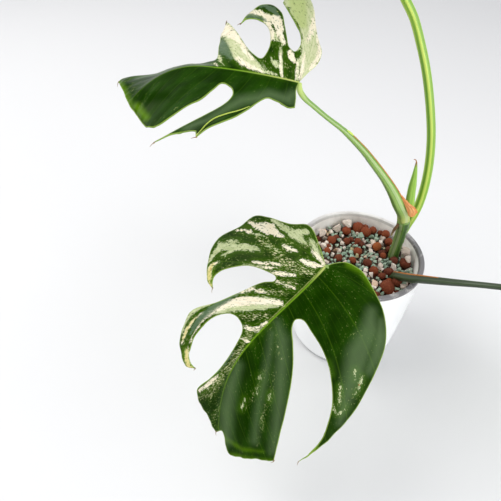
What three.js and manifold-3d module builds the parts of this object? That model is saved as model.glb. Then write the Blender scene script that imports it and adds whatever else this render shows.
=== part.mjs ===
// Potted variegated monstera: a white round planter with a grey nursery pot in it, a mineral potting mix,
// and a young plant with four split leaf blades on long stalks.
// Millimetres, +Z up. The origin is the centre of the planter's base, on the surface that it stands on.

import * as THREE from 'three';
import { mergeVertices } from 'three/addons/utils/BufferGeometryUtils.js';
import Module from 'manifold-3d';

const wasm = await Module();
wasm.setup();

// Driving dimensions

const PLANTER_HEIGHT = 135.6;
const PLANTER_TOP_RADIUS = 74.3;
const PLANTER_BASE_RADIUS = 66.5;
const PLANTER_SWELL = 1.6;
const PLANTER_WALL = 4;
const PLANTER_FLOOR = 6;
const PLANTER_EDGE_RADIUS = 9;
const PLANTER_EDGE_STEPS = 4;
const PLANTER_LEVELS = [35, 65, 95, 120];
const RIM_SOFTENING = 1.2;
const ROUND_SEGMENTS = 44;

const LIP_OUTER_RADIUS = 75.2;
const LIP_INNER_RADIUS = 70;
const LIP_TOP = 141;
const LIP_SOFTENING = 1.2;
const NURSERY_TOP_RADIUS = 69.7;
const NURSERY_BASE_RADIUS = 61.5;
const NURSERY_BOTTOM = 14;
const NURSERY_WALL = 1.8;
const NURSERY_FOOT_CHAMFER = 3;
const NURSERY_SLOTS = 8;
const SLOT_SIZE = [7, 12, 16];

const SEAT_GAP = 0.3;
const MIX_LEVEL = 124;
const MIX_CROWN = 2.5;
const MIX_WALL_GAP = 0.55;
const GRAIN_COUNT = 92;
const GRAIN_SPACING = 6.75;
const GRAIN_SINK = 0.3;
const GRAIN_LEVEL_SPREAD = 1.6;
const GRAIN_SIZE_SPREAD = 0.3;
const GOLDEN_ANGLE = 2.399963;
const GRAIN_RADII = { clay: 7.2, pumice: 7, zeolite: 6.2 };
const GRAIN_UNEVENNESS = { clay: 0.1, pumice: 0.35, zeolite: 0.35 };
const MIX_SEED = 7;

const BLADE_THICKNESS = 0.8;
const BLADE_EDGE_LIMIT = 14;
const EDGE_TURN_PASSES = 12;
const OUTLINE_STEP = 8;
const RIB_STEP = 11;
const RIB_DEPTH = 1.7;
const BLADE_CLEARANCE = 0.7;

// Leaf outlines, in millimetres on the flattened blade: [along the midrib, across it].
// Each half runs from the stalk's joint round its lobes to the apex. A third value of 1 marks a sharp corner.

const LOWER_LEAF_LEFT = [
  [0, 0, 1], [-5, 3], [-13, 12], [-15, 25], [-9, 42], [3, 62], [23, 78], [48, 85], [75, 90], [108, 90.5],
  [127, 87], [147, 81], [165, 72, 1],
  [149, 78], [135, 80], [121, 78], [108, 75], [96, 70], [82, 61], [69, 50], [59, 37], [52, 22], [48, 11],
  [51, 6], [58, 7], [69, 15], [83, 24], [100, 32], [127, 41], [150, 47], [174, 53, 1],
  [181, 38], [187, 27], [190, 17], [184, 10], [176, 5], [173, 1], [178, -3, 1],
];
const LOWER_LEAF_RIGHT = [
  [0, 0, 1], [-11, -15], [-20, -33], [-12, -50], [-7, -70], [-1, -84], [14, -90], [35, -102], [57, -95],
  [70, -83], [73, -73, 1],
  [64, -79], [57, -77], [48, -69], [38, -56], [33, -40], [32, -29], [35, -28], [42, -36], [62, -49],
  [80, -62], [101, -79], [124, -77], [138, -68], [144, -57], [140, -47, 1],
  [136, -58], [122, -62], [105, -61], [90, -55], [80, -44], [79, -35], [85, -27], [103, -25], [120, -26],
  [137, -30], [154, -36], [163, -31], [168, -19], [174, -10], [178, -3, 1],
];
const UPPER_LEAF_LEFT = [
  [0, 0, 1], [3, 10], [4, 21], [6, 33, 1],
  [12, 34], [20, 29], [28, 27], [37, 34], [47, 45], [57, 56], [69, 67], [79, 77], [88, 91, 1],
  [88, 82, 1], [96, 80], [105, 82], [120, 88, 1],
  [107, 80], [94, 69], [80, 56], [67, 43], [61, 35], [58, 27], [60, 19], [66, 16], [74, 25], [84, 38],
  [95, 47], [107, 58], [118, 67], [126, 67], [132, 60], [137, 51], [142, 43, 1],
];
const UPPER_LEAF_RIGHT = [
  [0, 0, 1], [-8, -12], [-17, -25], [-20, -38], [-18, -50], [-15, -70], [-14, -90], [-10, -104], [0, -110],
  [10, -102], [15, -86, 1],
  [9, -73], [4, -62], [0, -50], [0, -39], [5, -30], [10, -34], [12, -44], [14, -57], [17, -72], [25, -78],
  [35, -73], [46, -59], [53, -48, 1],
  [46, -53], [36, -54.5], [29, -49], [26.5, -38], [28, -27], [34, -15.5], [42, -19], [49, -27], [55, -40],
  [59, -53], [62, -67, 1],
  [65, -58], [67, -45], [69, -32], [71, -18], [78, -18], [90, -24], [102, -29], [116, -25], [132, -14],
  [147, -8], [159, -5, 1], [151, 16], [146, 32], [142, 43, 1],
];

// The same half with its sides swapped and scaled, for the leaves that differ in size.
const resized = (half, along, across) => half.map(([u, v, corner]) => [u * along, v * across, corner]);

// How each blade is placed and bent. Angles are in degrees. The midrib leaves the joint along `heading`
// with slope `rise`, which changes by `rate` in each 100 mm and by `drop` past `dropAt`. The blade banks by
// `bank` about the midrib, and each half folds up from it by its keyed angles and curls by its curl in 100 mm.
const LEAVES = {
  leaf_a: {
    joint: [-65.8, -134.2, 248], heading: -133, rise: -33, rate: -15, drop: 0, dropAt: 0,
    bank: -15, twist: 0, foldLeft: [[0, -3]], foldRight: [[0, -3]], curlLeft: -22, curlRight: -24,
    bow: -17, hook: 0, hookAt: 80, length: 178, left: LOWER_LEAF_LEFT, right: LOWER_LEAF_RIGHT,
  },
  leaf_b: {
    joint: [152, -104, 196], heading: -24, rise: -8, rate: -22, drop: 0, dropAt: 0,
    bank: 4, twist: 6, foldLeft: [[0, 6]], foldRight: [[0, 6]], curlLeft: -30, curlRight: -26,
    bow: 9, hook: 0, hookAt: 80, length: 155,
    left: resized(LOWER_LEAF_RIGHT, 0.87, -0.87), right: resized(LOWER_LEAF_LEFT, 0.87, -0.87),
  },
  leaf_c: {
    joint: [-95.4, -20, 352.9], heading: 187, rise: 14, rate: -10, drop: -35, dropAt: 88,
    bank: -12, twist: -5, foldLeft: [[0, -8]], foldRight: [[48, 20], [85, -33], [112, -35], [158, -8]],
    curlLeft: 35, curlRight: -15,
    bow: 0, hook: 47, hookAt: 80, length: 148, left: UPPER_LEAF_LEFT, right: UPPER_LEAF_RIGHT,
  },
  leaf_d: {
    joint: [-55, 44, 466], heading: 152, rise: 6, rate: -20, drop: 0, dropAt: 0,
    bank: 5, twist: 4, foldLeft: [[0, 9]], foldRight: [[0, 9]], curlLeft: -26, curlRight: -30,
    bow: -15, hook: 0, hookAt: 80, length: 187,
    left: resized(LOWER_LEAF_LEFT, 1.05, 0.98), right: resized(LOWER_LEAF_RIGHT, 1.05, 0.98),
  },
};

// Stalks: points along the centre line from the foot up, and [share of the length, radius] keys.
const STALKS = {
  petiole_a: {
    route: [[8, -32, 92], [-4, -48, 108], [-9, -55, 124], [-11, -60, 138], [-15, -71, 154], [-23, -88, 181],
      [-39, -111, 215], [-56, -128, 238], [-65.8, -135.4, 246.4]],
    radii: [[0, 3.6], [0.25, 3.4], [0.7, 2.8], [1, 2.9]],
  },
  petiole_b: {
    route: [[38, -8, 96], [38.5, -15, 112], [40, -25.5, 128], [46.2, -38.5, 140], [50, -45.3, 146],
      [54.9, -51.3, 152], [76, -71, 170.5], [106, -90, 188], [135, -100, 195], [151, -104, 195.4]],
    radii: [[0, 4.2], [0.15, 4.7], [0.34, 4.7], [0.48, 4.1], [0.7, 3], [1, 2.7]],
  },
  petiole_c: {
    route: [[42.6, 10.4, 184], [40.3, 9.8, 192.4], [30.3, 7.6, 208.5], [19.9, 5.3, 225.3], [5.8, 2.2, 244.8],
      [-9.8, -1.2, 264.5], [-23.5, -4.2, 280.7], [-44.5, -8.8, 303], [-64.1, -13.1, 318.6],
      [-79.2, -16.4, 330.3], [-87.8, -18.3, 337.4], [-93.7, -19.6, 345.1], [-95.3, -20, 351.6]],
    radii: [[0, 6.6], [0.08, 6.2], [0.25, 5.2], [0.45, 4.1], [0.62, 3], [0.9, 2.6], [1, 2.7]],
  },
  petiole_d: {
    route: [[52, 19, 168], [56.5, 20, 186], [58.5, 21, 207], [56.5, 23, 241.7], [50.3, 27, 277.5],
      [39.9, 32, 313.2], [27.8, 37, 345.6], [17.6, 40, 367.3], [4.6, 41, 390.8], [-5.7, 42, 404.1],
      [-17.7, 42.6, 419.3], [-31, 43.2, 437], [-45, 43.8, 455], [-54, 44, 464.6]],
    radii: [[0, 5], [0.1, 4.9], [0.35, 4.4], [0.8, 3.9], [1, 3.2]],
  },
};
const STALK_STEPS = 22;
const STALK_SIDES = 8;
const ROD_DOME = 0.4;

const STEM_ROUTE = [[48, 14, 84], [46.5, 12.8, 110], [45.2, 12, 126], [45.2, 11.4, 150], [44.6, 10.8, 170],
  [43, 10.4, 183.4]];
const STEM_RADII = [[0, 5.8], [0.42, 6.3], [0.62, 6.1], [0.88, 6.6], [0.95, 7.6], [1, 7]];
const STEM_STEPS = 14;
const STEM_SIDES = 14;

const SHOOT_ROUTE = [[43.2, 7.8, 194], [42.8, 6.8, 203], [41.6, 6, 210], [38.5, 5, 229.3], [36.1, 5, 252.2],
  [34.7, 6, 263.7]];
const SHOOT_RADII = [[0, 3], [0.12, 4.2], [0.25, 4.9], [0.6, 4], [0.9, 1.7], [1, 0.8]];
const SHOOT_STEPS = 14;
const SHOOT_SIDES = 10;

const ROOT_ROUTE = [[39.4, 8.6, 181], [36.4, 6.6, 177], [33.4, 5, 171], [32, 4, 165]];
const ROOT_RADII = [[0, 1.9], [0.5, 1.7], [1, 0.9]];
const ROOT_STEPS = 8;
const ROOT_SIDES = 8;

// The dry sheath wraps part of the way round the upper stalk's foot, flares outward as it rises and leans back.
const SHEATH_THICKNESS = 0.8;
const SHEATH_ACROSS = 7;
const SHEATH_ALONG = 6;
const SHEATH_CENTRE = [42.4, 10.4];
const SHEATH_FOOT = 188;
const SHEATH_HEIGHT = 27;
const SHEATH_RADIUS = 6.9;
const SHEATH_FLARE = 5;
const SHEATH_START = -112;
const SHEATH_SWEEP = 92;
const SHEATH_LEAN = 4;
const SHEATH_TAPER = 0.38;
const SHEATH_DIP = 2;
const SHEATH_WAVES = 7;

// General helpers

/** A seeded generator of numbers from 0 to 1. */
function seeded(seed) {
  let state = seed >>> 0;
  return () => {
    state = (Math.imul(state, 1664525) + 1013904223) >>> 0;
    return state / 4294967296;
  };
}

const radians = (degrees) => (degrees * Math.PI) / 180;

const smoothStep = (x) => {
  const t = Math.min(1, Math.max(0, x));
  return t * t * (3 - 2 * t);
};

/** Straight interpolation in a list of [position, value] keys. */
function keyed(keys, position) {
  for (let i = 1; i < keys.length; i += 1) {
    if (position <= keys[i][0]) {
      const [from, low] = keys[i - 1];
      const [to, high] = keys[i];
      return low + ((high - low) * (position - from)) / (to - from);
    }
  }
  return keys[keys.length - 1][1];
}

/** A closed geometry as a solid that can be joined and cut. */
function solidOf(geometry) {
  const bare = geometry.clone();
  Object.keys(bare.attributes).filter((name) => name !== 'position').forEach((name) => {
    bare.deleteAttribute(name);
  });
  const merged = mergeVertices(bare, 1e-4);
  return new wasm.Manifold(new wasm.Mesh({
    numProp: 3,
    vertProperties: Float32Array.from(merged.attributes.position.array),
    triVerts: Uint32Array.from(merged.index.array),
  }));
}

/** The geometry of a solid. */
function geometryOf(solid) {
  const { vertProperties, triVerts } = solid.getMesh();
  const geometry = new THREE.BufferGeometry();
  geometry.setAttribute('position', new THREE.BufferAttribute(Float32Array.from(vertProperties), 3));
  geometry.setIndex(new THREE.BufferAttribute(Uint32Array.from(triVerts), 1));
  geometry.computeVertexNormals();
  return geometry;
}

/** The largest separate body of a solid, without the scraps that a cut leaves. */
function largestBody(solid) {
  return solid.decompose().sort((a, b) => b.volume() - a.volume())[0];
}

/** A mesh with its own plain material. */
function piece(name, geometry, color, roughness) {
  const material = new THREE.MeshStandardMaterial({ color, roughness, metalness: 0 });
  const mesh = new THREE.Mesh(geometry, material);
  mesh.name = name;
  return mesh;
}

/** A closed turned shape from a profile of [radius, height] points. */
function turned(profile) {
  const points = profile.map(([radius, height]) => new THREE.Vector2(radius, height));
  return new THREE.LatheGeometry(points, ROUND_SEGMENTS).rotateX(Math.PI / 2);
}

/** A closed rod along a smooth route, with a radius keyed by the share of its length. */
function rod(route, radii, steps, sides, swell = 0) {
  const curve = new THREE.CatmullRomCurve3(route.map((p) => new THREE.Vector3(...p)), false, 'centripetal');
  const frames = curve.computeFrenetFrames(steps, false);
  const positions = [];
  const indices = [];
  const add = (point) => positions.push(point.x, point.y, point.z) / 3 - 1;
  for (let i = 0; i <= steps; i += 1) {
    const share = i / steps;
    const centre = curve.getPointAt(share);
    if (i === 0) {
      centre.addScaledVector(frames.tangents[0], -swell);
    }
    if (i === steps) {
      centre.addScaledVector(frames.tangents[steps], swell);
    }
    const radius = keyed(radii, share) + swell;
    for (let k = 0; k < sides; k += 1) {
      const angle = (2 * Math.PI * k) / sides;
      add(centre.clone()
        .addScaledVector(frames.normals[i], radius * Math.cos(angle))
        .addScaledVector(frames.binormals[i], radius * Math.sin(angle)));
    }
  }
  const dome = (i, sign) => add(curve.getPointAt(i / steps)
    .addScaledVector(frames.tangents[i], sign * (keyed(radii, i / steps) * ROD_DOME + swell)));
  const foot = dome(0, -1);
  const head = dome(steps, 1);
  for (let k = 0; k < sides; k += 1) {
    const next = (k + 1) % sides;
    for (let i = 0; i < steps; i += 1) {
      const low = i * sides;
      const high = low + sides;
      indices.push(low + k, low + next, high + next, low + k, high + next, high + k);
    }
    indices.push(foot, next, k);
    indices.push(head, steps * sides + k, steps * sides + next);
  }
  const geometry = new THREE.BufferGeometry();
  geometry.setAttribute('position', new THREE.Float32BufferAttribute(positions, 3));
  geometry.setIndex(indices);
  return geometry;
}

// Pots

/** Outer radius of the planter at a height. */
const planterRadius = (z) => PLANTER_BASE_RADIUS
  + (PLANTER_TOP_RADIUS - PLANTER_BASE_RADIUS) * (1 - (1 - z / PLANTER_HEIGHT) ** PLANTER_SWELL);

/** The white planter: a turned cup with a rounded lower edge and a softened rim. */
function planter() {
  const outer = [];
  for (let i = 0; i <= PLANTER_EDGE_STEPS; i += 1) {
    const angle = (Math.PI / 2) * (i / PLANTER_EDGE_STEPS);
    outer.push([planterRadius(PLANTER_EDGE_RADIUS) - PLANTER_EDGE_RADIUS * (1 - Math.sin(angle)),
      PLANTER_EDGE_RADIUS * (1 - Math.cos(angle))]);
  }
  PLANTER_LEVELS.forEach((z) => outer.push([planterRadius(z), z]));
  const rim = [[PLANTER_TOP_RADIUS, PLANTER_HEIGHT - RIM_SOFTENING],
    [PLANTER_TOP_RADIUS - RIM_SOFTENING, PLANTER_HEIGHT],
    [PLANTER_TOP_RADIUS - PLANTER_WALL + RIM_SOFTENING / 2, PLANTER_HEIGHT]];
  const inner = [PLANTER_HEIGHT - RIM_SOFTENING, ...PLANTER_LEVELS.slice(0, 3).reverse(),
    PLANTER_FLOOR + PLANTER_EDGE_RADIUS].map((z) => [planterRadius(z) - PLANTER_WALL, z]);
  const floorEdge = [planterRadius(PLANTER_FLOOR) - PLANTER_WALL - PLANTER_EDGE_RADIUS, PLANTER_FLOOR];
  return turned([[0, 0], ...outer, ...rim, ...inner, floorEdge, [0, PLANTER_FLOOR]]);
}

/** Outer radius of the nursery pot's wall at a height. */
const nurseryRadius = (z) => NURSERY_BASE_RADIUS
  + ((NURSERY_TOP_RADIUS - NURSERY_BASE_RADIUS) * (z - NURSERY_BOTTOM)) / (LIP_TOP - NURSERY_BOTTOM);

/** The grey nursery pot: it hangs by its lip on the planter's rim and has drainage slots round its foot. */
function nurseryPot() {
  const seat = PLANTER_HEIGHT + SEAT_GAP;
  const floorTop = NURSERY_BOTTOM + NURSERY_WALL;
  const cup = solidOf(turned([
    [0, NURSERY_BOTTOM],
    [NURSERY_BASE_RADIUS - NURSERY_FOOT_CHAMFER, NURSERY_BOTTOM],
    [nurseryRadius(NURSERY_BOTTOM + NURSERY_FOOT_CHAMFER), NURSERY_BOTTOM + NURSERY_FOOT_CHAMFER],
    [nurseryRadius(seat), seat],
    [LIP_OUTER_RADIUS - LIP_SOFTENING / 2, seat],
    [LIP_OUTER_RADIUS, seat + LIP_SOFTENING / 2],
    [LIP_OUTER_RADIUS, LIP_TOP - LIP_SOFTENING],
    [LIP_OUTER_RADIUS - LIP_SOFTENING, LIP_TOP],
    [LIP_INNER_RADIUS + LIP_SOFTENING / 2, LIP_TOP],
    [LIP_INNER_RADIUS - LIP_SOFTENING / 2, LIP_TOP - LIP_SOFTENING],
    [nurseryRadius(seat) - NURSERY_WALL, seat - 2 * LIP_SOFTENING],
    [nurseryRadius(floorTop) - NURSERY_WALL, floorTop],
    [0, floorTop],
  ]));
  let pot = cup;
  for (let i = 0; i < NURSERY_SLOTS; i += 1) {
    const slot = new THREE.BoxGeometry(...SLOT_SIZE);
    slot.translate(NURSERY_BASE_RADIUS, 0, NURSERY_BOTTOM + SLOT_SIZE[2] / 2);
    slot.rotateZ((2 * Math.PI * (i + 0.5)) / NURSERY_SLOTS);
    pot = pot.subtract(solidOf(slot));
  }
  return pot;
}

// Potting mix

/** One grain: a low ball or a chip, squashed and turned by seeded draws. */
function grain(kind, centre, random) {
  const size = GRAIN_RADII[kind] * (1 + GRAIN_SIZE_SPREAD * (random() - 0.5));
  const geometry = kind === 'clay' ? new THREE.DodecahedronGeometry(size) : new THREE.IcosahedronGeometry(size);
  const spread = GRAIN_UNEVENNESS[kind];
  geometry.scale(1 + spread * (random() - 0.5), 1 + spread * (random() - 0.5), 1 + spread * (random() - 0.7));
  geometry.rotateX(3 * random());
  geometry.rotateZ(6 * random());
  geometry.translate(...centre);
  return solidOf(geometry);
}

/** Which kind of grain lies at a place: chips fill the middle, clay balls gather towards the wall. */
function grainKind(share, random) {
  const draw = random();
  if (draw < 0.16 + 0.3 * share) {
    return 'clay';
  }
  return draw < 0.42 + 0.34 * share ? 'pumice' : 'zeolite';
}

/** The mix: a crowned bed in the nursery pot with grains sunk in its top, and plain holes for what stands in it. */
function pottingMix(standing) {
  const floor = NURSERY_BOTTOM + NURSERY_WALL + SEAT_GAP;
  const wallGap = NURSERY_WALL + MIX_WALL_GAP;
  const bedRadius = nurseryRadius(MIX_LEVEL) - wallGap;
  let bed = solidOf(turned([
    [0, floor],
    [nurseryRadius(floor) - wallGap, floor],
    [bedRadius, MIX_LEVEL],
    [bedRadius * 0.6, MIX_LEVEL + MIX_CROWN * 0.7],
    [0, MIX_LEVEL + MIX_CROWN],
  ]));
  const random = seeded(MIX_SEED);
  for (let i = 0; i < GRAIN_COUNT; i += 1) {
    const distance = GRAIN_SPACING * Math.sqrt(i + 0.5) + random() - 0.5;
    const share = distance / bedRadius;
    const kind = grainKind(share, random);
    const angle = i * GOLDEN_ANGLE + 0.15 * random();
    const level = MIX_LEVEL + MIX_CROWN * (1 - share) + GRAIN_SINK + GRAIN_LEVEL_SPREAD * random();
    const reach = Math.min(distance, bedRadius - GRAIN_RADII.clay * (1 + GRAIN_SIZE_SPREAD / 2));
    bed = bed.add(grain(kind, [reach * Math.cos(angle), reach * Math.sin(angle), level], random));
  }
  standing.forEach((solid) => {
    bed = bed.subtract(solid);
  });
  return largestBody(bed);
}

// Leaf blades

/** Sampled outline from corner to corner, through its points by a centripetal spline. */
function outlinePoints(half) {
  const sampled = [];
  let start = 0;
  for (let end = 1; end < half.length; end += 1) {
    if (half[end][2]) {
      const stretch = half.slice(start, end + 1).map(([u, v]) => new THREE.Vector3(u, v, 0));
      if (stretch.length === 2) {
        sampled.push([stretch[0].x, stretch[0].y]);
      } else {
        const curve = new THREE.CatmullRomCurve3(stretch, false, 'centripetal');
        const steps = Math.max(stretch.length - 1, Math.round(curve.getLength() / OUTLINE_STEP));
        for (let i = 0; i < steps; i += 1) {
          const point = curve.getPointAt(i / steps);
          sampled.push([point.x, point.y]);
        }
      }
      start = end;
    }
  }
  const last = half[half.length - 1];
  sampled.push([last[0], last[1]]);
  return sampled;
}

/** The side step of the midrib on the flattened blade, at a length along it. */
function midribOffset(leaf, u) {
  const share = Math.min(1, Math.max(0, u / leaf.length));
  const past = Math.max(0, u - leaf.hookAt) / (leaf.length - leaf.hookAt);
  return leaf.bow * Math.sin(Math.PI * share ** 1.5) + leaf.hook * past ** 2;
}

/** The slope of the midrib, in radians, at a length along it. */
function midribSlope(leaf, u) {
  const past = Math.max(0, u - leaf.dropAt) / 100;
  return radians(leaf.rise + (leaf.rate * u) / 100 + leaf.drop * past ** 2);
}

/** How far the midrib has run out and up at a length along it, by adding short steps. */
function midribReach(leaf, u) {
  const steps = Math.max(1, Math.ceil(Math.abs(u) / 4));
  const step = u / steps;
  let out = 0;
  let up = 0;
  for (let i = 0; i < steps; i += 1) {
    const slope = midribSlope(leaf, (i + 0.5) * step);
    out += Math.cos(slope) * step;
    up += Math.sin(slope) * step;
  }
  return [out, up];
}

/** An angle keyed along the blade, in degrees, with soft steps between its keys. */
function foldAngle(keys, u) {
  let angle = keys[0][1];
  for (let i = 1; i < keys.length; i += 1) {
    const [from, low] = keys[i - 1];
    const [to, high] = keys[i];
    angle += (high - low) * smoothStep((u - from) / (to - from));
  }
  return angle;
}

/** The place in space of a point of the flattened blade. */
function bladePoint(leaf, u, v) {
  const [out, up] = midribReach(leaf, u);
  const slope = midribSlope(leaf, u);
  const heading = radians(leaf.heading);
  const bank = radians(leaf.bank + (leaf.twist * u) / 100);
  const forward = new THREE.Vector3(Math.cos(heading), Math.sin(heading), 0);
  const level = new THREE.Vector3(-Math.sin(heading), Math.cos(heading), 0);
  const lift = new THREE.Vector3(0, 0, Math.cos(slope)).addScaledVector(forward, -Math.sin(slope));
  const across = level.clone().multiplyScalar(Math.cos(bank)).addScaledVector(lift, Math.sin(bank));
  const above = lift.clone().multiplyScalar(Math.cos(bank)).addScaledVector(level, -Math.sin(bank));
  const middle = midribOffset(leaf, u);
  const side = v > middle ? 1 : -1;
  const reach = Math.abs(v - middle);
  const fold = radians(foldAngle(side > 0 ? leaf.foldLeft : leaf.foldRight, u));
  const curl = radians(side > 0 ? leaf.curlLeft : leaf.curlRight) / 100;
  const sideways = (Math.sin(fold + curl * reach) - Math.sin(fold)) / curl;
  const height = (Math.cos(fold) - Math.cos(fold + curl * reach)) / curl;
  return new THREE.Vector3(...leaf.joint)
    .addScaledVector(forward, out)
    .add(new THREE.Vector3(0, 0, up))
    .addScaledVector(across, middle + side * sideways)
    .addScaledVector(above, height);
}

/** A flat triangle mesh that can be split and turned, kept as points and triangles of point numbers. */
class FlatMesh {
  constructor() {
    this.points = [];
    this.triangles = [];
    this.ribs = new Set();
    this.numbers = new Map();
  }

  /** The number of a point, the same for a repeated place. */
  number([u, v]) {
    const key = `${Math.round(u * 1000)},${Math.round(v * 1000)}`;
    if (!this.numbers.has(key)) {
      this.numbers.set(key, this.points.length);
      this.points.push([u, v]);
    }
    return this.numbers.get(key);
  }

  /** Fills a closed outline with triangles that turn to the left. */
  fill(outline) {
    const contour = outline.map(([u, v]) => new THREE.Vector2(u, v));
    const numbers = outline.map((point) => this.number(point));
    THREE.ShapeUtils.triangulateShape(contour, []).forEach((corners) => {
      const [a, b, c] = corners.map((corner) => numbers[corner]);
      const turn = this.turn(a, b, c);
      if (Math.abs(turn) > 1e-6) {
        this.triangles.push(turn > 0 ? [a, b, c] : [a, c, b]);
      }
    });
  }

  /** Twice the signed area of three points. */
  turn(a, b, c) {
    const [p, q, r] = [this.points[a], this.points[b], this.points[c]];
    return (q[0] - p[0]) * (r[1] - p[1]) - (q[1] - p[1]) * (r[0] - p[0]);
  }

  /** The distance between two points. */
  span(a, b) {
    return Math.hypot(this.points[a][0] - this.points[b][0], this.points[a][1] - this.points[b][1]);
  }

  /** Each edge, by its key, with the triangles on it. */
  edges() {
    const found = new Map();
    this.triangles.forEach((triangle, index) => {
      for (let k = 0; k < 3; k += 1) {
        const a = triangle[k];
        const b = triangle[(k + 1) % 3];
        const key = a < b ? `${a},${b}` : `${b},${a}`;
        if (!found.has(key)) {
          found.set(key, []);
        }
        found.get(key).push(index);
      }
    });
    return found;
  }

  /** Splits the longest edges, once round, and says whether any was split. */
  splitLong(limit) {
    const touched = new Set();
    const long = [...this.edges()]
      .map(([key, on]) => {
        const [a, b] = key.split(',').map(Number);
        return { key, a, b, on, length: this.span(a, b) };
      })
      .filter(({ length }) => length > limit)
      .sort((one, other) => other.length - one.length);
    long.forEach(({ key, a, b, on }) => {
      if (on.some((index) => touched.has(index))) {
        return;
      }
      const middle = this.points.length;
      this.points.push([0, 1].map((axis) => (this.points[a][axis] + this.points[b][axis]) / 2));
      if (this.ribs.has(key)) {
        this.ribs.add(`${a},${middle}`);
        this.ribs.add(`${b},${middle}`);
      }
      on.forEach((index) => {
        touched.add(index);
        const triangle = this.triangles[index];
        this.triangles[index] = triangle.map((corner) => (corner === a ? middle : corner));
        this.triangles.push(triangle.map((corner) => (corner === b ? middle : corner)));
      });
    });
    return long.length > 0;
  }

  /** Turns shared edges that leave flatter triangles than their crossing edge would. */
  turnEdges() {
    for (let pass = 0; pass < EDGE_TURN_PASSES; pass += 1) {
      const touched = new Set();
      this.edges().forEach((on, key) => {
        if (on.length !== 2 || this.ribs.has(key) || on.some((index) => touched.has(index))) {
          return;
        }
        const [a, b] = key.split(',').map(Number);
        const [c, d] = on.map((index) => this.triangles[index].find((n) => n !== a && n !== b));
        if (this.spread(c, a, b) + this.spread(d, a, b) <= Math.PI + 1e-6) {
          return;
        }
        const firstTurn = this.turn(c, d, a);
        const secondTurn = this.turn(c, d, b);
        if (firstTurn * secondTurn >= 0 || Math.min(Math.abs(firstTurn), Math.abs(secondTurn)) < 1e-3) {
          return;
        }
        this.triangles[on[0]] = firstTurn > 0 ? [c, d, a] : [d, c, a];
        this.triangles[on[1]] = secondTurn > 0 ? [c, d, b] : [d, c, b];
        on.forEach((index) => touched.add(index));
      });
      if (touched.size === 0) {
        return;
      }
    }
  }

  /** The angle at a point between two others. */
  spread(at, a, b) {
    const [p, q, r] = [this.points[at], this.points[a], this.points[b]];
    const one = new THREE.Vector2(q[0] - p[0], q[1] - p[1]);
    return one.angleTo(new THREE.Vector2(r[0] - p[0], r[1] - p[1]));
  }
}

/** The blade's flat mesh: both halves filled, with the midrib as a shared line of edges. */
function flatBlade(leaf) {
  const apex = leaf.left[leaf.left.length - 1];
  const count = Math.round(apex[0] / RIB_STEP);
  const rib = [];
  for (let i = 1; i < count; i += 1) {
    const u = (apex[0] * i) / count;
    rib.push([u, midribOffset(leaf, u)]);
  }
  const mesh = new FlatMesh();
  mesh.fill([...outlinePoints(leaf.left), ...rib.slice().reverse()]);
  mesh.fill([...outlinePoints(leaf.right), ...rib.slice().reverse()]);
  const line = [[0, 0], ...rib, apex.slice(0, 2)].map((point) => mesh.number(point));
  for (let i = 1; i < line.length; i += 1) {
    const [a, b] = [Math.min(line[i - 1], line[i]), Math.max(line[i - 1], line[i])];
    mesh.ribs.add(`${a},${b}`);
  }
  mesh.turnEdges();
  while (mesh.splitLong(BLADE_EDGE_LIMIT)) {
    mesh.turnEdges();
  }
  return { mesh, ribPoints: new Set(line.slice(0, -1)) };
}

/** A closed blade: the bent sheet given its thickness, alike on both faces, with the midrib raised below. */
function blade(leaf, swell = 0) {
  const { mesh, ribPoints } = flatBlade(leaf);
  const sheet = new THREE.BufferGeometry();
  const places = mesh.points.map(([u, v]) => bladePoint(leaf, u, v));
  sheet.setAttribute('position', new THREE.Float32BufferAttribute(places.flatMap((p) => p.toArray()), 3));
  sheet.setIndex(mesh.triangles.flat());
  sheet.computeVertexNormals();
  const normals = places.map((_, i) => new THREE.Vector3().fromBufferAttribute(sheet.attributes.normal, i));
  const half = BLADE_THICKNESS / 2 + swell;
  const top = places.map((p, i) => p.clone().addScaledVector(normals[i], half));
  const bottom = places.map((p, i) => {
    const rib = ribPoints.has(i) ? RIB_DEPTH * (1 - mesh.points[i][0] / (leaf.length * 1.1)) : 0;
    return p.clone().addScaledVector(normals[i], -half - rib);
  });
  const count = places.length;
  const indices = [];
  mesh.triangles.forEach(([a, b, c]) => {
    indices.push(a, b, c, a + count, c + count, b + count);
  });
  mesh.edges().forEach((on, key) => {
    if (on.length === 1) {
      let [a, b] = key.split(',').map(Number);
      const triangle = mesh.triangles[on[0]];
      if (triangle[(triangle.indexOf(a) + 1) % 3] !== b) {
        [a, b] = [b, a];
      }
      indices.push(a, a + count, b + count, a, b + count, b);
    }
  });
  const geometry = new THREE.BufferGeometry();
  const positions = [...top, ...bottom].flatMap((p) => p.toArray());
  geometry.setAttribute('position', new THREE.Float32BufferAttribute(positions, 3));
  geometry.setIndex(indices);
  return geometry;
}

// Small growths at the node

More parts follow.
